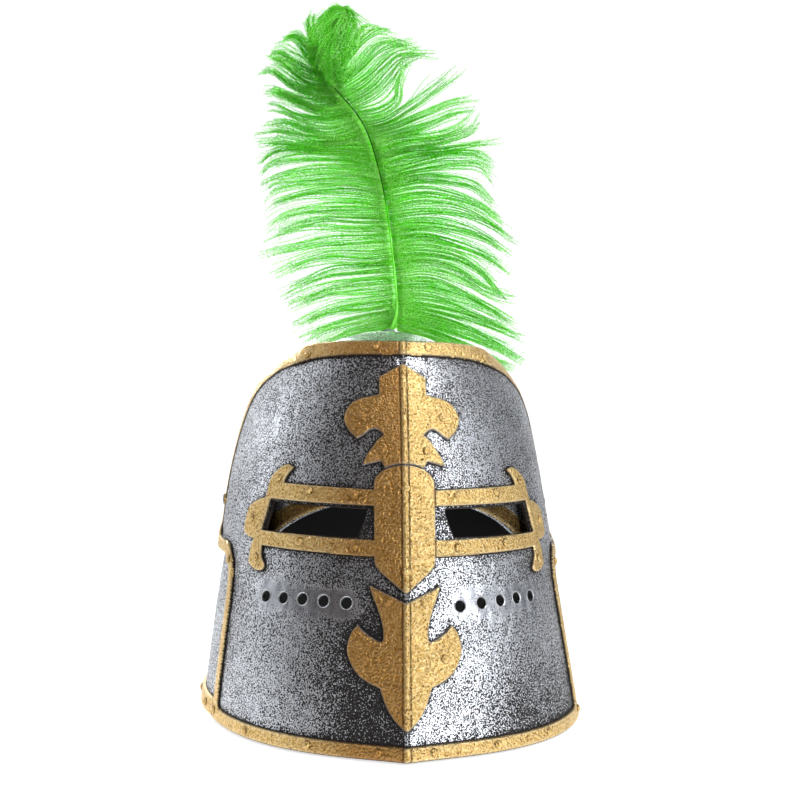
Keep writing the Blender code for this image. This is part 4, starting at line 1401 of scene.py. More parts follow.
        # painted shade: darker beside the keel on the -X side, and low down on the +X side
        low = 1.0 - eased(z, 55.0, 100.0)
        beside = eased(-s, 0.5, 3.0) * (1.0 - eased(-s, 26.0, 62.0)) * (0.35 + 0.55 * low)
        under = 0.6 * eased(s, 30.0, 75.0) * (1.0 - eased(z, 15.0, 60.0))
        return np.clip(0.75 * band + 0.6 * scuffs - (beside + under) * (1.0 - band), -1.0, 1.0)

    def hole_rims(self) -> Shape:
        """Chamfered rims of the breath holes, each a small profile turned about the hole's axis.

        Returns:
            Rims and bores as one shape.
        """
        r = self.hole_radius
        rim = ((r + 0.75, -0.4), (r + 0.72, 0.12), (r + 0.45, 0.22), (r + 0.05, 0.02), (r, -0.3),
               (r + 0.3, -0.5))
        bore = ((r + 0.6, -0.5), (r + 0.02, -0.25), (r + 0.02, -2.15), (r + 0.6, -2.15))
        centres, axes = VISOR.place(self.holes, np.zeros(len(self.holes))), VISOR.outward(self.holes)
        return Shape.joined([turned(profile, centres, axes, 28, True, coat)
                             for profile, coat in ((rim, 2), (bore, 1))])

    def build_border(self) -> None:
        """The gold border: the ring between the visor's outline and the field, with its rivets."""
        region = Region(self.outer, (self.inner,), self.rounds(PIN_HOLE, self.pivots))
        reach = np.abs(self.outer.path[:, 0]).max() + 1.0
        columns = keel_columns(-reach, reach, self.border_step)
        rows = np.linspace(VISOR_FOOT, VISOR_TOP, int(220 / self.border_step))
        band = trim_shape(VISOR, region, columns, rows, self.border_step * 0.88, Relief(radius=1.7),
                          True, True)
        places = [VISOR.from_front(s * x, z) for x, z in BORDER_RIVETS for s in (-1, 1)]
        places += [VISOR.from_side(y, z, s) for y, z in BORDER_SIDE_RIVETS for s in (-1.0, 1.0)]
        seat = ((3.9, -1.6), (3.9, 0.05), (3.6, 0.3), (PIN_HOLE, 0.3), (PIN_HOLE, -1.6))
        centres = np.array([(s * 98.0, TEMPLE_Y + HINGE_Y, HINGE_Z) for s in (-1.0, 1.0)])
        axes = np.array([(s, 0.0, 0.0) for s in (-1.0, 1.0)])
        # the border's walls take the dark wash: painted shadow
        self.put("visor_border", Shape.joined([
            band, rivets(VISOR, np.array(places), TRIM_TOP), turned(seat, centres, axes, 28, True),
            carried(VISOR, Outline(self.inner.path[::-1]), CREVICE_LINE, 1)]), self.trim_finishes(False),
            "gold_trim")

    def build_trim(self, name: str, region: Region, places: Sequence[tuple[float, float]],
                   lining: Sequence[Shape] = ()) -> None:
        """A raised trim with its rivets and the dark line of wash and painted shade round it.

        An ornament stands on the keel and carries its bead.  An eye frame has an opening and does not.

        Args:
            name: its CAD node.
            region: its outline and opening.
            places: its rivets, seen from the front.
            lining: what runs from its opening through the plate.
        """
        outline = region.outer
        on_keel = not region.holes
        low, high = outline.path.min(0) - 0.5, outline.path.max(0) + 0.5
        columns = np.arange(low[0], high[0] + self.trim_step, self.trim_step)
        if on_keel:
            columns = keel_columns(low[0], high[0], self.trim_step)
        rows = np.arange(low[1], high[1] + self.trim_step, self.trim_step)
        body = trim_shape(VISOR, region, columns, rows, self.trim_step * 0.86, Relief(), on_keel)
        flat = np.array([VISOR.from_front(x, z) for x, z in places])
        self.put(name, Shape.joined([body, *lining, rivets(VISOR, flat, TRIM_TOP),
                                     carried(VISOR, outline, CREVICE_LINE, 1)]),
                 self.trim_finishes(on_keel), "gold_trim")

    def trim_finishes(self, bare: bool = True) -> list:
        """Finishes of a trim: gold face, dark wash and painted shade in the corner, wall of bare silver or
        of dark wash as painted shadow.
        """
        return [self.finishes.gold, self.finishes.wash, self.finishes.rim if bare else self.finishes.wash]

    def build(self) -> None:
        """Make every piece of the visor."""
        self.build_plate()
        self.build_border()
        for name, places in (("brow_fleur", BROW_RIVETS), ("nasal_plate", NASAL_RIVETS),
                             ("chin_fleur", CHIN_RIVETS)):
            self.build_trim(name, Region(self.ornaments[name]), places)
        for name, side in (("left", 1.0), ("right", -1.0)):
            region = Region(self.frames[name], (self.openings[name],))
            places = [(side * x + self.eye_shift, z) for x, z in EYE_RIVETS]
            # the slot's lining takes the dark wash: painted shade
            lining = carried(VISOR, self.slots[name], SLOT_LINING, 1)
            self.build_trim("eye_frame_" + name, region, places, (lining,))


# The skull

@dataclass
class Skull(Dressed):
    """Back, sides and crown, the gold round the face opening and the hem, pivots and socket.

    Attributes:
        finishes: the helm's finishes.
        wall: thickness of the shell, mm.
        step: grid of the shell, mm.
        half_width: half the face opening, mm.
        crown: top of its arch, mm.
        spring: where its arch starts, mm.
        band: width of the gold round it, mm.
        hem: height of the gold hem, mm.
        hem_rivets: rivets on it.
        socket_x: how far the plume's socket sits to +X, mm.
        socket_back: how far behind the widest section it sits, mm.
        columns: points round the shell.
    """

    BODY = "skull"
    finishes: Finishes
    wall: float = 2.0
    step: float = 2.7
    half_width: float = 82.0
    crown: float = 134.5
    spring: float = 80.0
    band: float = 9.0
    hem: float = 10.0
    hem_rivets: int = 14
    socket_x: float = 5.0
    socket_back: float = 48.0
    columns: int = 248

    def arch(self, margin: float, floor: float) -> Outline:
        """Outline of the face opening, a margin outside it: a half ellipse on two straight sides.

        Args:
            margin: distance outside the opening, mm.
            floor: height of its level bottom, mm.

        Returns:
            The outline on the unrolled skull.
        """
        half = self.half_width + margin
        turn = np.linspace(math.pi, 0.0, 61)
        across = np.concatenate([np.full(12, -half), half * np.cos(turn), np.full(12, half)])
        legs = np.linspace(floor, self.spring, 13)[:-1]
        bow = self.spring + (self.crown + margin - self.spring) * np.sin(turn)
        height = np.concatenate([legs, bow, legs[::-1]])
        run = SKULL.form.run_at(height)
        flat = SKULL.from_front(across, run)
        return Outline.through(flat, [C] * len(flat), 1.2)

    def build_shell(self) -> None:
        """The shell: a grid all round, closed at the crown by one point, cut at the face opening."""
        columns = self.columns
        runs = np.concatenate([np.linspace(0.0, DOME_Z, 45), np.linspace(DOME_Z, DOME_RUN, 64)[1:-1]])
        turn = (np.arange(columns) / columns - 0.5) * 2 * math.pi
        a, r = np.meshgrid(turn, runs)
        apex = len(runs) * columns
        last = (len(runs) - 1) * columns
        k = np.arange(columns)
        faces = np.concatenate([grid_faces(len(runs), columns, True),
                                np.stack([last + k, last + (k + 1) % columns, 0 * k + apex], 1)])
        flat = np.stack([SKULL.along(a.ravel(), r.ravel()), r.ravel(), a.ravel()], 1)
        flat = np.concatenate([flat, [(0.0, DOME_RUN, 0.0)]])
        pivots = [SKULL.from_side(HINGE_Y, SKULL.form.run_at(HINGE_Z), s) for s in (-1.0, 1.0)]
        rounds = tuple((float(s), float(z), PIN_HOLE) for s, z in pivots)
        region = Region(None, (self.arch(0.0, -20.0),), rounds)
        flat, depth, faces = cut_sheet(flat, faces, region, self.step * 0.8, 0.0)
        angle = np.where(np.isnan(flat[:, 2]), SKULL.angle(flat[:, 0], flat[:, 1]), flat[:, 2])
        run = np.minimum(flat[:, 1], DOME_RUN - 0.02)
        across = SKULL.form.at(angle, run)[:, 0]
        # a faint ridge runs over the crown from front to back
        ridge = 0.45 * np.exp(-(across / 1.8) ** 2) * eased(run, 175.0, 205.0)
        lift = 0.08 * ripple(angle * 100, run, 10.0, 7) * (1 - eased(run, 250.0, 285.0)) - 0.04 + ridge
        lift = np.where(depth < 0.5, -0.04, lift)
        outer = SKULL.lifted(angle, run, lift)
        inner = SKULL.lifted(angle, run, np.full(len(run), -self.wall))
        tip = flat[:, 1] > DOME_RUN - 0.01
        outer[tip], inner[tip] = (0.0, TEMPLE_Y, 226.4), (0.0, TEMPLE_Y, 224.0)
        # the corner mark darkens the silver along the hem's top edge: antiquing wash and painted shade
        marks = {"worn": np.clip(0.7 * np.exp(-(across / 2.2) ** 2) * eased(run, 175.0, 205.0), 0, 1),
                 "crevice": np.clip(np.exp(-np.abs(run - self.hem) / 1.5), 0, 1)}
        self.put("skull_shell", closed_sheet(outer, inner, faces, marks),
                 [self.finishes.silver, self.finishes.inside], "hammered_silver")

    def build_face_band(self) -> None:
        """Gold band round the face opening, pebbled."""
        outer, inner = self.arch(self.band, 12.0), self.arch(0.5, -5.0)
        low, high = outer.path.min(0), outer.path.max(0)
        columns = np.arange(low[0] - 0.5, high[0] + 1.0, 0.95)
        rows = np.arange(low[1] - 0.5, high[1] + 1.0, 0.95)
        relief = Relief(top=1.3, wall=0.5, radius=1.4, foot=0.0)
        band = trim_shape(SKULL, Region(outer, (inner,)), columns, rows, 0.84, relief, False)
        # the band takes the darker gold copy: painted shade
        coats = [self.finishes.shaded_gold, self.finishes.wash, self.finishes.gold]
        self.put("skull_face_band", band, coats, "gold_trim")

    def build_hem(self) -> None:
        """Gold band round the bottom, from one visor edge round the back to the other.

        Its grid runs from the angle where the skull is 48 mm ahead of the widest section, the long
        way round to the same place on the other side, and its edges are rounded.
        """
        heights = np.array([0.0, 0.35, 0.8, 1.5, 3.0, 5.0, 7.0, 8.5, 9.2, 9.65, self.hem])
        start = SKULL.angle(*SKULL.from_side(np.full(len(heights), -48.0), heights, 1.0).T)
        share = np.linspace(0.0, 1.0, 330)
        angle = start[:, None] + (2 * math.pi - 2 * start[:, None]) * share
        z = heights[:, None] + 0 * angle
        depth = np.minimum(np.minimum(z, self.hem - z), share * 500 + 0 * z)
        lift = Relief(top=TRIM_TOP, wall=0.9, radius=1.3).lift(depth)
        outer = SKULL.lifted(angle, z, lift).reshape(-1, 3)
        inner = SKULL.lifted(angle, z, np.full_like(z, 0.1)).reshape(-1, 3)
        edge = np.exp(-((depth - 0.5) / 0.5) ** 2).ravel()
        band = closed_sheet(outer, inner, grid_faces(len(heights), len(share)), {"edge": edge}, 0)
        turn = np.linspace(start[5] + 0.12, 2 * math.pi - start[5] - 0.12, self.hem_rivets)
        middle = np.full(self.hem_rivets, 0.5 * self.hem)
        seat = np.full(self.hem_rivets, TRIM_TOP)
        centres = SKULL.lifted(turn, middle, seat)
        normal = SKULL.lifted(turn, middle, seat + 1.0) - centres
        # the studs' feet carry the corner mark: a dark ring of wash and painted shade
        studs = turned(RIVET, centres, normal, 20, low_mark=1.0)
        self.put("skull_hem_band", Shape.joined([band, studs]), [self.finishes.gold], "gold_trim")

    def build_pivots(self) -> None:
        """Temple rivets: a domed outer head, a shank through visor and skull, and a tail inside."""
        profile = ((2.4, 87.5), (3.4, 87.9), (3.4, 88.9), (1.6, 88.95), (1.6, 98.2), (3.3, 98.25),
                   (3.4, 98.5), (3.1, 98.9), (2.3, 99.2), (1.2, 99.35), (0.4, 99.4))
        for name, side in (("pivot_left", 1.0), ("pivot_right", -1.0)):
            centre = np.array([(0.0, TEMPLE_Y + HINGE_Y, HINGE_Z)])
            shape = turned(profile, centre, np.array([(side, 0.0, 0.0)]), 32)
            self.put(name, shape, [self.finishes.steel], "pivot_metal", 30.0)

    def socket_frame(self) -> tuple[Array, Array]:
        """Point on the dome under the plume and the dome's normal there.

        Returns:
            The point in mm, and the direction.
        """
        back = self.socket_back
        height = DOME_RISE * math.sqrt(1.0 - (back / DOME_RISE) ** 2)
        centre = np.array((self.socket_x, TEMPLE_Y + back, DOME_Z + height))
        return centre, unit(np.array((0.0, back, height)))

    def build_socket(self) -> None:
        """Flanged tube on the crown: one closed profile turned about the dome's normal."""
        centre, axis = self.socket_frame()
        profile = ((9.0, 0.6), (9.0, 1.5), (8.6, 1.85), (6.6, 2.1), (5.8, 2.6), (5.3, 11.8), (5.0, 12.35),
                   (2.75, 12.35), (2.75, 3.1), (0.4, 3.0), (0.4, 0.62))
        shape = turned(profile, centre[None], axis[None], 36, True)
        self.put("plume_socket", shape, [self.finishes.steel], "pivot_metal", 30.0)

    def build(self) -> None:
        """Make every piece of the skull."""
        self.build_shell()
        self.build_face_band()
        self.build_hem()
        self.build_pivots()
        self.build_socket()


# The plume

# The feather's shaft: x, y, height
SHAFT = ((11.2, 77.5, 231.0), (11.0, 81.8, 244.0), (9.7, 87.2, 262.6), (7.5, 92.5, 283.3),
         (5.5, 94.8, 300.2), (3.0, 96.7, 315.2), (0.0, 97.7, 328.3), (-3.6, 97.0, 341.1),
         (-8.0, 96.2, 353.9), (-13.6, 94.5, 364.6), (-21.5, 91.5, 374.0), (-30.2, 88.9, 382.4),
         (-36.9, 86.5, 390.0), (-40.1, 82.2, 397.3), (-41.3, 78.4, 402.9), (-40.8, 73.9, 409.3),
         (-38.5, 67.5, 416.2), (-35.0, 58.0, 422.8), (-32.0, 46.0, 426.4), (-30.0, 34.0, 425.0),
         (-29.0, 26.5, 417.0))

# Lie of the barbs seen from the front, each row from the shaft out: x, height
LEFT_LIE = (
    ((-41, 401), (-47, 412), (-50, 423), (-47, 429)),
    ((-41, 397), (-50, 408), (-58, 417), (-67, 415)),
    ((-38, 392), (-54, 397), (-68, 405), (-76, 403)),
    ((-34, 386), (-50, 386), (-65, 395), (-77, 400)),
    ((-29, 381), (-46, 381), (-62, 386), (-74, 394), (-82, 392)),
    ((-25, 377), (-42, 374), (-59, 378), (-71, 382), (-78, 383)),
    ((-21, 373), (-40, 369), (-58, 374), (-70, 378), (-76, 377)),
    ((-18, 369), (-36, 364), (-55, 365), (-68, 370), (-76, 371)),
    ((-14, 365), (-32, 356), (-51, 359), (-64, 363), (-79, 359)),
    ((-11, 359), (-28, 352), (-49, 352), (-67, 355), (-84, 353)),
    ((-8, 353), (-26, 350), (-49, 347), (-67, 349), (-82, 349)),
    ((-5, 345), (-24, 345), (-48, 345), (-69, 343), (-83, 333)),
    ((-2, 337), (-22, 340), (-48, 340), (-71, 335), (-80, 325)),
    ((0, 330), (-20, 333), (-48, 331), (-70, 324), (-81, 318)),
    ((2, 323), (-20, 326), (-48, 324), (-68, 319), (-77, 312)),
    ((3, 315), (-18, 318), (-46, 317), (-66, 311), (-76, 304)),
    ((4, 307), (-16, 307), (-39, 306), (-61, 302), (-76, 292)),
    ((6, 298), (-16, 298), (-38, 299), (-57, 295), (-76, 287)),
    ((7, 289), (-12, 287), (-38, 284), (-57, 280), (-80, 275)),
    ((8, 278), (-10, 276), (-34, 276), (-53, 270), (-71, 261)),
    ((9, 268), (-10, 266), (-33, 263), (-51, 256), (-68, 248)),
    ((10, 257), (-8, 255), (-31, 252), (-49, 246), (-60, 241)),
    ((11, 246), (-8, 243), (-29, 240), (-43, 235), (-58, 226)),
    ((11, 238), (-7, 235), (-23, 231), (-38, 226), (-52, 220)),
    ((11, 231), (-3, 229), (-18, 225), (-29, 220), (-43, 214)))
RIGHT_LIE = (
    ((-41, 400), (-34, 411), (-25, 420), (-20, 430)),
    ((-39, 395), (-28, 406), (-19, 418), (-13, 426), (-1, 425)),
    ((-38, 392), (-24, 405), (-14, 416), (-4, 422), (7, 419)),
    ((-35, 387), (-20, 398), (-8, 412), (3, 416), (21, 410)),
    ((-32, 383), (-15, 395), (-4, 406), (7, 413), (22, 415)),
    ((-27, 379), (-11, 388), (0, 399), (10, 406), (33, 405)),
    ((-21, 374), (-5, 383), (4, 392), (10, 400), (23, 407)),
    ((-17, 368), (-1, 371), (9, 380), (9, 393), (15, 405)),
    ((-12, 361), (3, 365), (16, 373), (31, 383), (48, 395)),
    ((-10, 358), (7, 362), (26, 370), (45, 378), (64, 382)),
    ((-7, 352), (11, 358), (30, 365), (49, 374), (64, 376)),
    ((-6, 348), (13, 355), (36, 357), (53, 365), (61, 374)),
    ((-4, 344), (17, 349), (36, 352), (55, 358), (62, 370)),
    ((-3, 339), (17, 346), (42, 348), (62, 351), (81, 354)),
    ((-1, 334), (21, 340), (45, 347), (66, 346), (77, 336)),
    ((0, 328), (23, 335), (48, 339), (65, 338), (74, 325)),
    ((2, 323), (25, 329), (46, 328), (63, 323), (75, 311)),
    ((3, 315), (25, 320), (46, 318), (67, 312), (84, 300)),
    ((5, 306), (27, 310), (50, 309), (71, 300), (90, 286)),
    ((6, 296), (29, 299), (52, 296), (71, 289), (88, 277)),
    ((8, 287), (29, 290), (52, 285), (71, 278), (87, 267)),
    ((8, 278), (29, 280), (50, 277), (69, 266), (83, 249)),
    ((10, 268), (31, 271), (52, 266), (71, 255), (90, 251)),
    ((11, 257), (33, 258), (55, 251), (75, 242), (91, 232)),
    ((11, 246), (33, 244), (55, 239), (76, 232), (97, 224)),
    ((11, 238), (33, 235), (56, 228), (78, 219), (98, 208)),
    ((11, 230), (31, 224), (54, 216), (73, 209), (90, 203)))
CREST_LIE = (
    ((-40, 420), (-46, 418), (-51, 408), (-52, 394)),
    ((-39, 424), (-43, 419), (-47, 406), (-48, 388)),
    ((-37, 426), (-39, 419), (-43, 404), (-44, 383)),
    ((-35, 427), (-36, 419), (-38, 403), (-40, 380)),
    ((-33, 427), (-31, 419), (-33, 404), (-36, 381)),
    ((-31, 427), (-27, 420), (-27, 406), (-31, 386)),
    ((-29, 425), (-24, 419), (-21, 408), (-24, 393)))


def drawn_out(rows: Sequence[Sequence[tuple[float, float]]], count: int) -> Array:
    """Even points along each row's smooth line.

    A row is drawn as a Catmull-Rom cubic, then read at equal steps of its length.

    Args:
        rows: places of each line.
        count: points wanted on each.

    Returns:
        An array of lines by points by two.
    """
    made = []
    for row in rows:
        p = np.array(row, float)
        ends = np.concatenate([[2 * p[0] - p[1]], p, [2 * p[-1] - p[-2]]])
        t = np.linspace(0.0, len(p) - 1.0001, 60)
        k, u = np.floor(t).astype(int), (t - np.floor(t))[:, None]
        fine = cubic(ends[k], ends[k + 1], ends[k + 2], ends[k + 3], u)
        length = np.concatenate([[0.0], np.cumsum(np.linalg.norm(np.diff(fine, axis=0), axis=1))])
        even = np.linspace(0.0, length[-1], count)
        made.append(np.stack([np.interp(even, length, fine[:, j]) for j in range(p.shape[1])], 1))
    return np.array(made)


@dataclass
class Plume:
    """Ostrich feather: a shaft, soft barbs that gather into locks, and barbules along each barb.

    Attributes:
        finishes: the helm's finishes.
        start: where the quill stands in its socket.
        axis: direction of the socket.
        barbs: barbs on the left side.
        more_right: how many more the right side has.
        crest_barbs: barbs that fall forward over the curled tip.
        stations: points along a barb.
        barbules: barbules on a barb.
        barb_radius: at the shaft, mm.
        barbule_length: mm.
        barbule_width: mm, coarser than the real 0.05 so that it shows.
    """

    ROW_POINTS = 40    # points read along each row of a lie
    RISING = 17        # rows of the shaft before it curls forward
    CURL = 10          # last rows of the shaft, which carry the crest
    SHAFT_POINTS = 90
    SHAFT_SIDES = 12

    finishes: Finishes
    start: Array
    axis: Array
    barbs: int = 600
    more_right: int = 20
    crest_barbs: int = 320
    stations: int = 17
    barbules: int = 58
    barb_radius: float = 0.34
    barbule_length: float = 4.0
    barbule_width: float = 0.40

    def barb_lines(self, rows: Sequence, count: int, forward: float, seed: int,
                   crowd: float = 0.0, shortest: float = 0.8) -> tuple[Array, Array]:
        """Centre lines of the barbs on one side.

        A barb's place among the measured lines slides towards the nearest of them as it runs out,
        which gathers the barbs into locks.  Depth is the shaft's own depth at the barb's root, plus a
        share of the lock's and the barb's own random lean that grows along it.

        Args:
            rows: lie of the barbs seen from the front.
            count: number of barbs.
            forward: mean lean of the ends towards the front, mm.
            seed: number that fixes the random leans.
            crowd: how much denser the barbs stand among the last rows, 0 to 1.
            shortest: length of the shortest barb against its row.

        Returns:
            Barbs by points by three, mm, and a shade for each barb.
        """
        dice = np.random.default_rng(seed)
        lines = drawn_out(rows, self.ROW_POINTS)
        share = (np.arange(count) + dice.uniform(0, 1, count)) / count
        u = -0.35 + (len(rows) - 0.3) * share * (1.0 + crowd * (1.0 - share))
        t = np.linspace(0.0, 1.0, self.stations)[None, :]
        loose = dice.uniform(0.0, 0.5, count)[:, None]
        pull = (0.85 - 1.2 * loose) * eased(t, 0.3, 1.0)
        lock = np.rint(u)[:, None]
        index = u[:, None] + (lock - u[:, None]) * pull
        reach = t * dice.uniform(shortest, 1.02, count)[:, None] * (self.ROW_POINTS - 1.0)
        r = np.clip(np.floor(index).astype(int), 0, len(rows) - 2)
        c = np.clip(np.floor(reach).astype(int), 0, self.ROW_POINTS - 2)
        v, w = (index - r)[..., None], (reach - c)[..., None]
        flat = ((lines[r, c] * (1 - w) + lines[r, c + 1] * w) * (1 - v)
                + (lines[r + 1, c] * (1 - w) + lines[r + 1, c + 1] * w) * v)
        heading = unit(flat[:, -1] - flat[:, 0])
        side = np.stack([-heading[:, 1], heading[:, 0]], 1)[:, None]
        stray = dice.normal(0.0, 1.6, count)[:, None] * t ** 2
        stray = stray + dice.normal(0.0, 0.8, count)[:, None] * np.sin(t * 3.1)
        wave = t * dice.uniform(5, 14, count)[:, None]
        stray = stray + 0.6 * np.sin(wave + dice.uniform(0, 6, count)[:, None]) * t
        flat = flat + stray[..., None] * side
        shaft = np.array(SHAFT)
        root_y = np.interp(flat[:, :1, 1], shaft[:self.RISING, 2], shaft[:self.RISING, 1])
        lean = dice.normal(0.0, 9.0, len(rows) + 2)[np.rint(u).astype(int) + 1][:, None]
        own = dice.normal(0.0, 4.0, count)[:, None]
        y = root_y + (lean + own - forward) * t ** 1.4
        return np.stack([flat[..., 0], y, flat[..., 1]], -1), dice.uniform(0.15, 0.75, count)

    def tubes(self, lines: Array, radius: Array, sides: int, shade: Array) -> Shape:
        """Closed tubes along many lines at once.

        Each ring lies in the plane of two directions square to the line, and the first and last
        rings are closed by a face.

        Args:
            lines: lines by points by three.
            radius: lines by points.
            sides: points round a ring.
            shade: a value for each line.

        Returns:
            All tubes as one shape.
        """
        count, stations, _ = lines.shape
        along = unit(np.gradient(lines, axis=1))
        wide = unit(np.cross(along, (0.0, -1.0, 0.05)))
        deep = np.cross(along, wide)
        turn = (np.arange(sides) * 2 * math.pi / sides)[:, None]
        ring = np.cos(turn) * wide[:, :, None] + np.sin(turn) * deep[:, :, None]
        points = lines[:, :, None] + radius[..., None, None] * ring
        faces = grid_faces(stations, sides, True)
        fan = np.arange(1, sides - 1)
        top = (stations - 1) * sides
        faces = np.concatenate([faces, np.stack([0 * fan, fan + 1, fan], 1),
                                np.stack([0 * fan + top, top + fan, top + fan + 1], 1)])
        faces = (faces[None] + (np.arange(count) * stations * sides)[:, None, None]).reshape(-1, 3)
        return Shape(points.reshape(-1, 3), faces, np.zeros(len(faces)),
                     {"shade": np.repeat(shade, stations * sides)})

    def fuzz(self, lines: Array, shade: Array, count: int, seed: int) -> Shape:
        """Barbules: slender closed spikes that leave each barb at a slant to both sides.

        Args:
            lines: the barbs' centre lines.
            shade: the barbs' shades.
            count: barbules on a barb.
            seed: number that fixes their spread.

        Returns:
            All barbules as one shape.
        """
        dice = np.random.default_rng(seed)
        barbs, stations, _ = lines.shape
        t = ((np.arange(count) + dice.uniform(0, 1, (barbs, count))) / count) ** 1.3 * 0.97 + 0.02
        place = t * (stations - 1)
        k = np.clip(np.floor(place).astype(int), 0, stations - 2)
        u = (place - k)[..., None]
        row = np.arange(barbs)[:, None]
        foot = lines[row, k] * (1 - u) + lines[row, k + 1] * u
        along = unit(lines[row, k + 1] - lines[row, k])
        wide = unit(np.cross(along, (0.0, -1.0, 0.05)))
        deep = np.cross(along, wide)
        hand = np.where(np.arange(count) % 2 == 0, 1.0, -1.0)[None, :, None]
        roll = dice.normal(0.0, 0.55, (barbs, count, 1))
        slant = dice.uniform(0.45, 0.95, (barbs, count, 1))
        out = hand * np.cos(roll) * wide + np.sin(roll) * deep
        way = np.cos(slant) * along + np.sin(slant) * out
        length = self.barbule_length * (1 - 0.45 * t[..., None])
        length = length * dice.uniform(0.6, 1.15, (barbs, count, 1))
        across = unit(np.cross(way, out + 0.3 * deep))
        half = 0.5 * self.barbule_width
        other = np.cross(way, across)
        corners = [foot + half * across, foot - 0.5 * half * across + 0.87 * half * other,
                   foot - 0.5 * half * across - 0.87 * half * other, foot + length * way]
        points = np.stack(corners, axis=2).reshape(-1, 3)
        one = np.array([(0, 2, 1), (0, 1, 3), (1, 2, 3), (2, 0, 3)])
        faces = (one[None] + (np.arange(barbs * count) * 4)[:, None, None]).reshape(-1, 3)
        tone = np.repeat(np.clip(shade + 0.18, 0, 1), count * 4)
        return Shape(points, faces, np.zeros(len(faces)), {"shade": tone})

    def put(self, name: str, shape: Shape, crease: float = 180.0) -> None:
        """Place one piece of the plume."""
        make_piece(name, shape, [self.finishes.feather], "skull", ("plume",), crease)

    def barb_tubes(self, lines: Array, shade: Array) -> Shape:
        """Barbs along their centre lines, thinning to 0.28 of their radius.

        Args:
            lines: centre lines.
            shade: a value for each barb.

        Returns:
            All barbs as one shape.
        """
        t = np.linspace(0.0, 1.0, self.stations)
        radius = self.barb_radius * (1.0 - 0.72 * t)[None] * np.ones((len(lines), 1))
        return self.tubes(lines, radius, 3, shade)

    def build_shaft(self) -> None:
        """The quill and shaft: a tube that tapers from the socket to the curled tip."""
        foot = [tuple(self.start + self.axis * reach) for reach in (3.6, 8.0, 12.0)]
        line = drawn_out([foot + [(9.2, 73.5, 234.5)] + list(SHAFT[1:])], self.SHAFT_POINTS)
        share = np.linspace(0.0, 1.0, self.SHAFT_POINTS)
        radius = np.interp(share, (0.0, 0.05, 0.12, 0.5, 0.8, 1.0), (1.8, 1.1, 0.8, 0.45, 0.3, 0.2))
        shape = self.tubes(line, radius[None], self.SHAFT_SIDES, np.array([0.5]))
        # the shaft is pale low down and darker towards the tip
        tone = np.interp(share, (0.0, 0.17, 0.3, 0.42, 1.0), (0.5, 0.6, 0.45, -0.25, -0.3))
        shape.marks["shade"] = np.repeat(tone, self.SHAFT_SIDES)
        self.put("plume_shaft", shape, 60.0)

    def build_vane(self, name: str, rows: Sequence, count: int, seed: int, crowd: float) -> None:
        """Barbs and barbules of one side of the feather.

        Args:
            name: the pieces' first name.
            rows: lie of the barbs.
            count: number of barbs.
            seed: number that fixes the random values.
            crowd: how much denser the barbs stand among the last rows.
        """
        lines, shade = self.barb_lines(rows, count, 6.0, seed, crowd)
        self.put(name + "_barbs", self.barb_tubes(lines, shade))
        self.put(name + "_barbules", self.fuzz(lines, shade, self.barbules, seed + 50))

    def build_crest(self) -> None:
        """Barbs that fall forward over the curl of the tip.

        Their roots are spread along the curl; each rises a millimetre or two, then falls to its row.
        """
        lines, shade = self.barb_lines(CREST_LIE, self.crest_barbs, 26.0, 13, 0.0, 0.45)
        dice = np.random.default_rng(14)
        roots = drawn_out([SHAFT[-self.CURL:]], 80)[0][dice.integers(0, 80, self.crest_barbs)]
        t = np.linspace(0.0, 1.0, self.stations)
        held = 1.0 - t[None, :, None] * np.array((1.0, 0.0, 1.0))
        lines = lines + (roots[:, None] - lines[:, :1]) * held
        rise = dice.uniform(0.3, 2.6, self.crest_barbs)[:, None]
        lines[..., 2] += rise * np.sin(math.pi * np.minimum(t / 0.4, 1.0))[None]
        self.put("plume_crest", Shape.joined([self.barb_tubes(lines, shade),
                                              self.fuzz(lines, shade, self.barbules // 2, 63)]))

    def build(self) -> None:
        """Make every piece of the plume."""
        self.build_shaft()
        self.build_vane("plume_left", LEFT_LIE, self.barbs, 11, 0.0)
        self.build_vane("plume_right", RIGHT_LIE, self.barbs + self.more_right, 12, 0.6)
        self.build_crest()


# The studio

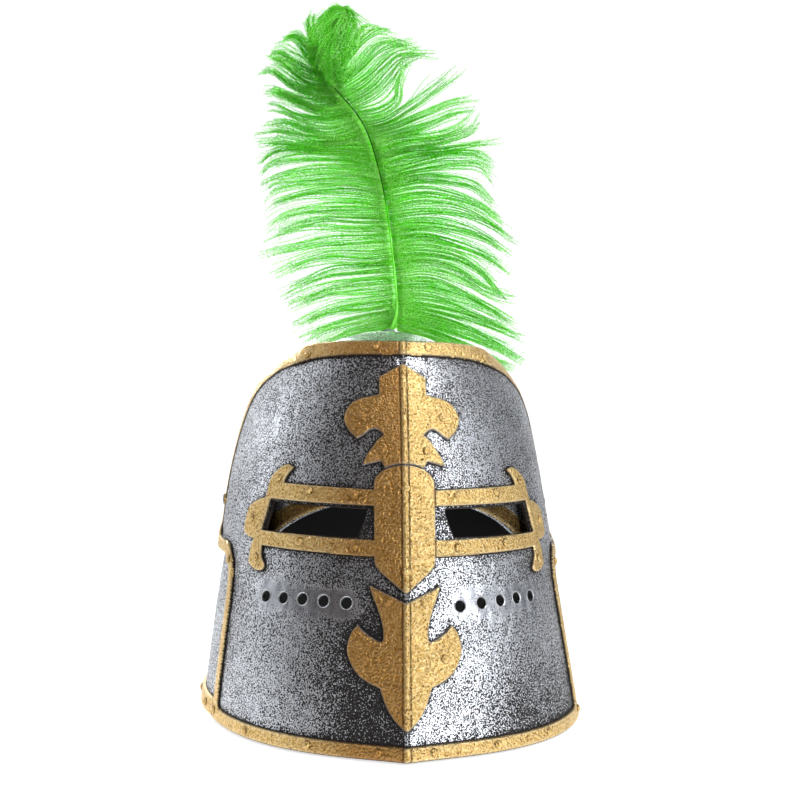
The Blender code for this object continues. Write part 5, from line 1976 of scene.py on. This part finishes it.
@dataclass(frozen=True)
class Studio:
    """Pale floor, soft lights and the camera.

    Attributes:
        eye: camera's place, mm.
        heading: camera's turn to +X, degrees.
        dip: its pitch down, degrees.
        roll: its turn about the view, degrees.
        lens: focal length for a 36 mm sensor, mm.
        strength: brightness of a white wall.
        fade: share of it that is lost straight overhead.
        glow: brightness of the floor's glowing wedge, a painted light.
        walls: azimuth from the front of the helm, and the wall's tone there.
    """

    eye: tuple = (-86.5, -898.5, 217.1)
    heading: float = 5.87
    dip: float = 2.057
    roll: float = 1.198
    lens: float = 67.5
    strength: float = 2.0
    fade: float = 0.62
    glow: float = 0.72
    # white at the back, grey at the sides, dark and warm at the front left, a broad pale part at the
    # front right
    walls: tuple = ((-180, 0.60), (-150, 0.60), (-128, 0.58), (-105, 0.40), (-88, 0.20), (-74, 0.06),
                    (-60, "#33200F"), (-30, "#2C1B0A"), (-8, "#33200F"), (8, 0.06), (25, 0.50), (42, 0.92),
                    (60, 0.70), (80, 0.34), (100, 0.14), (118, 0.10), (135, 0.18), (148, 0.38), (156, 0.60),
                    (180, 0.60))

    def build_camera(self) -> None:
        """Camera looking along its heading and dip, rolled about the view."""
        yaw, pitch, roll = (math.radians(v) for v in (self.heading, self.dip, self.roll))
        level_part = math.cos(pitch)
        view = np.array((math.sin(yaw) * level_part, math.cos(yaw) * level_part, -math.sin(pitch)))
        level = np.array((math.cos(yaw), -math.sin(yaw), 0.0))
        over = np.cross(level, view)
        right = level * math.cos(roll) + over * math.sin(roll)
        up = over * math.cos(roll) - level * math.sin(roll)
        lens = bpy.data.cameras.new("camera")
        lens.lens = self.lens
        lens.sensor_width = 36.0
        lens.clip_start = 0.02
        camera = in_scene("camera", lens)
        camera.matrix_world = standing(right, up, -view, np.array(self.eye) * MM)
        bpy.context.scene.camera = camera

    def build_floor(self) -> None:
        """A wide pale floor under the rim.

        It glows only in a wedge behind and beside the helm that opens away from the camera: past a
        line ahead of the helm, and between two slopes of sideways over forwards from the camera.
        """
        wide, level = 6.0, -0.0006
        corners = [(x * wide, y * wide, level) for x, y in ((-1, -1), (1, -1), (1, 1), (-1, 1))]
        mesh = bpy.data.meshes.new("floor")
        mesh.from_pydata(corners, [], [(0, 1, 2, 3)])
        paper = PlainCoat("matt_white_paper_with_painted_glow", "#F7F7F7", "#FCFCFC", 0.0, 0.9, 8.0, 0.02).build()
        kit = NodeKit(paper.node_tree)
        split = kit.add("ShaderNodeSeparateXYZ", {0: kit.place()})
        aside = kit.math('ADD', split.outputs["X"], -self.eye[0] * MM)
        away = kit.math('ADD', split.outputs["Y"], -self.eye[1] * MM)
        slope = kit.math('DIVIDE', aside, away)
        glow = self.glow
        for value, start, full in ((split.outputs["Y"], -0.27, -0.20), (slope, -0.28, -0.17),
                                   (slope, 0.50, 0.39)):
            glow = kit.math('MULTIPLY', kit.ranged(value, start, full), glow)
        # the wedge glows: painted light that keeps the floor behind the helm white
        kit.feed(kit.tree.nodes["Principled BSDF"], {"Emission Color": (1.0, 1.0, 1.0, 1.0),
                                                     "Emission Strength": glow})
        mesh.materials.append(paper)
        in_scene("floor", mesh)

    def light(self, name: str, azimuth: float, elevation: float, distance: float, size: float,
              power: float, aim: float = 0.18, spread: float = 180.0) -> None:
        """A square soft light that looks at the helm.

        Args:
            name: its name.
            azimuth: degrees from the front of the helm towards +X.
            elevation: degrees over the floor.
            distance: metres.
            size: side, metres.
            power: watts.
            aim: height that it looks at, metres.
            spread: beam's angle, degrees.
        """
        a, e = math.radians(azimuth), math.radians(elevation)
        way = np.array((math.sin(a) * math.cos(e), -math.cos(a) * math.cos(e), math.sin(e)))
        lamp = bpy.data.lights.new(name, 'AREA')
        lamp.shape = 'SQUARE'
        lamp.size = size
        lamp.energy = power
        lamp.spread = math.radians(spread)
        right = unit(np.cross((0.0, 0.0, 1.0), way))
        up = np.cross(way, right)
        centre = np.array((0.0, 0.0, aim)) + way * distance
        in_scene(name, lamp).matrix_world = standing(right, up, way, centre)

    def build_world(self) -> None:
        """A studio round the helm: brightness by the direction's azimuth, fading upwards."""
        world = bpy.data.worlds.new("studio")
        world.use_nodes = True
        kit = NodeKit(world.node_tree)
        way = kit.add("ShaderNodeTexCoord").outputs["Generated"]
        split = kit.add("ShaderNodeSeparateXYZ", {0: way})
        ahead = kit.math('MULTIPLY', split.outputs["Y"], -1.0)
        turn = kit.math('ARCTAN2', split.outputs["X"], ahead)
        share = kit.scaled(turn, 0.5 / math.pi, 0.5)
        walls = kit.ramp(share, [((azimuth + 180.0) / 360.0, tone) for azimuth, tone in self.walls])
        strength = kit.scaled(split.outputs["Z"], -self.fade * self.strength, self.strength)
        kit.feed(kit.tree.nodes["Background"], {"Color": walls, "Strength": strength})
        bpy.context.scene.world = world

    def build(self) -> None:
        """Make the studio."""
        bpy.context.scene.view_settings.view_transform = 'Standard'
        self.build_camera()
        self.build_floor()
        self.build_world()
        self.light("key", 42.0, 5.0, 1.5, 0.8, 7.5)
        self.light("side", -112.0, 20.0, 1.5, 0.9, 3.0)
        # three narrow beams aimed at the plume
        self.light("plume_front", 35.0, 45.0, 1.3, 0.3, 0.50, 0.34, 24.0)
        self.light("plume_back_left", -169.0, 12.0, 1.3, 0.4, 0.9, 0.36, 36.0)
        self.light("plume_back_right", 169.0, 12.0, 1.3, 0.4, 0.9, 0.36, 36.0)


def main() -> None:
    """Build the helm and its studio."""
    logging.basicConfig(level=logging.INFO, format="%(name)s: %(message)s")
    Studio().build()
    finishes = Finishes()
    Visor(finishes).build()
    skull = Skull(finishes)
    skull.build()
    start, axis = skull.socket_frame()
    Plume(finishes, start, axis).build()


if __name__ == "__main__":
    main()
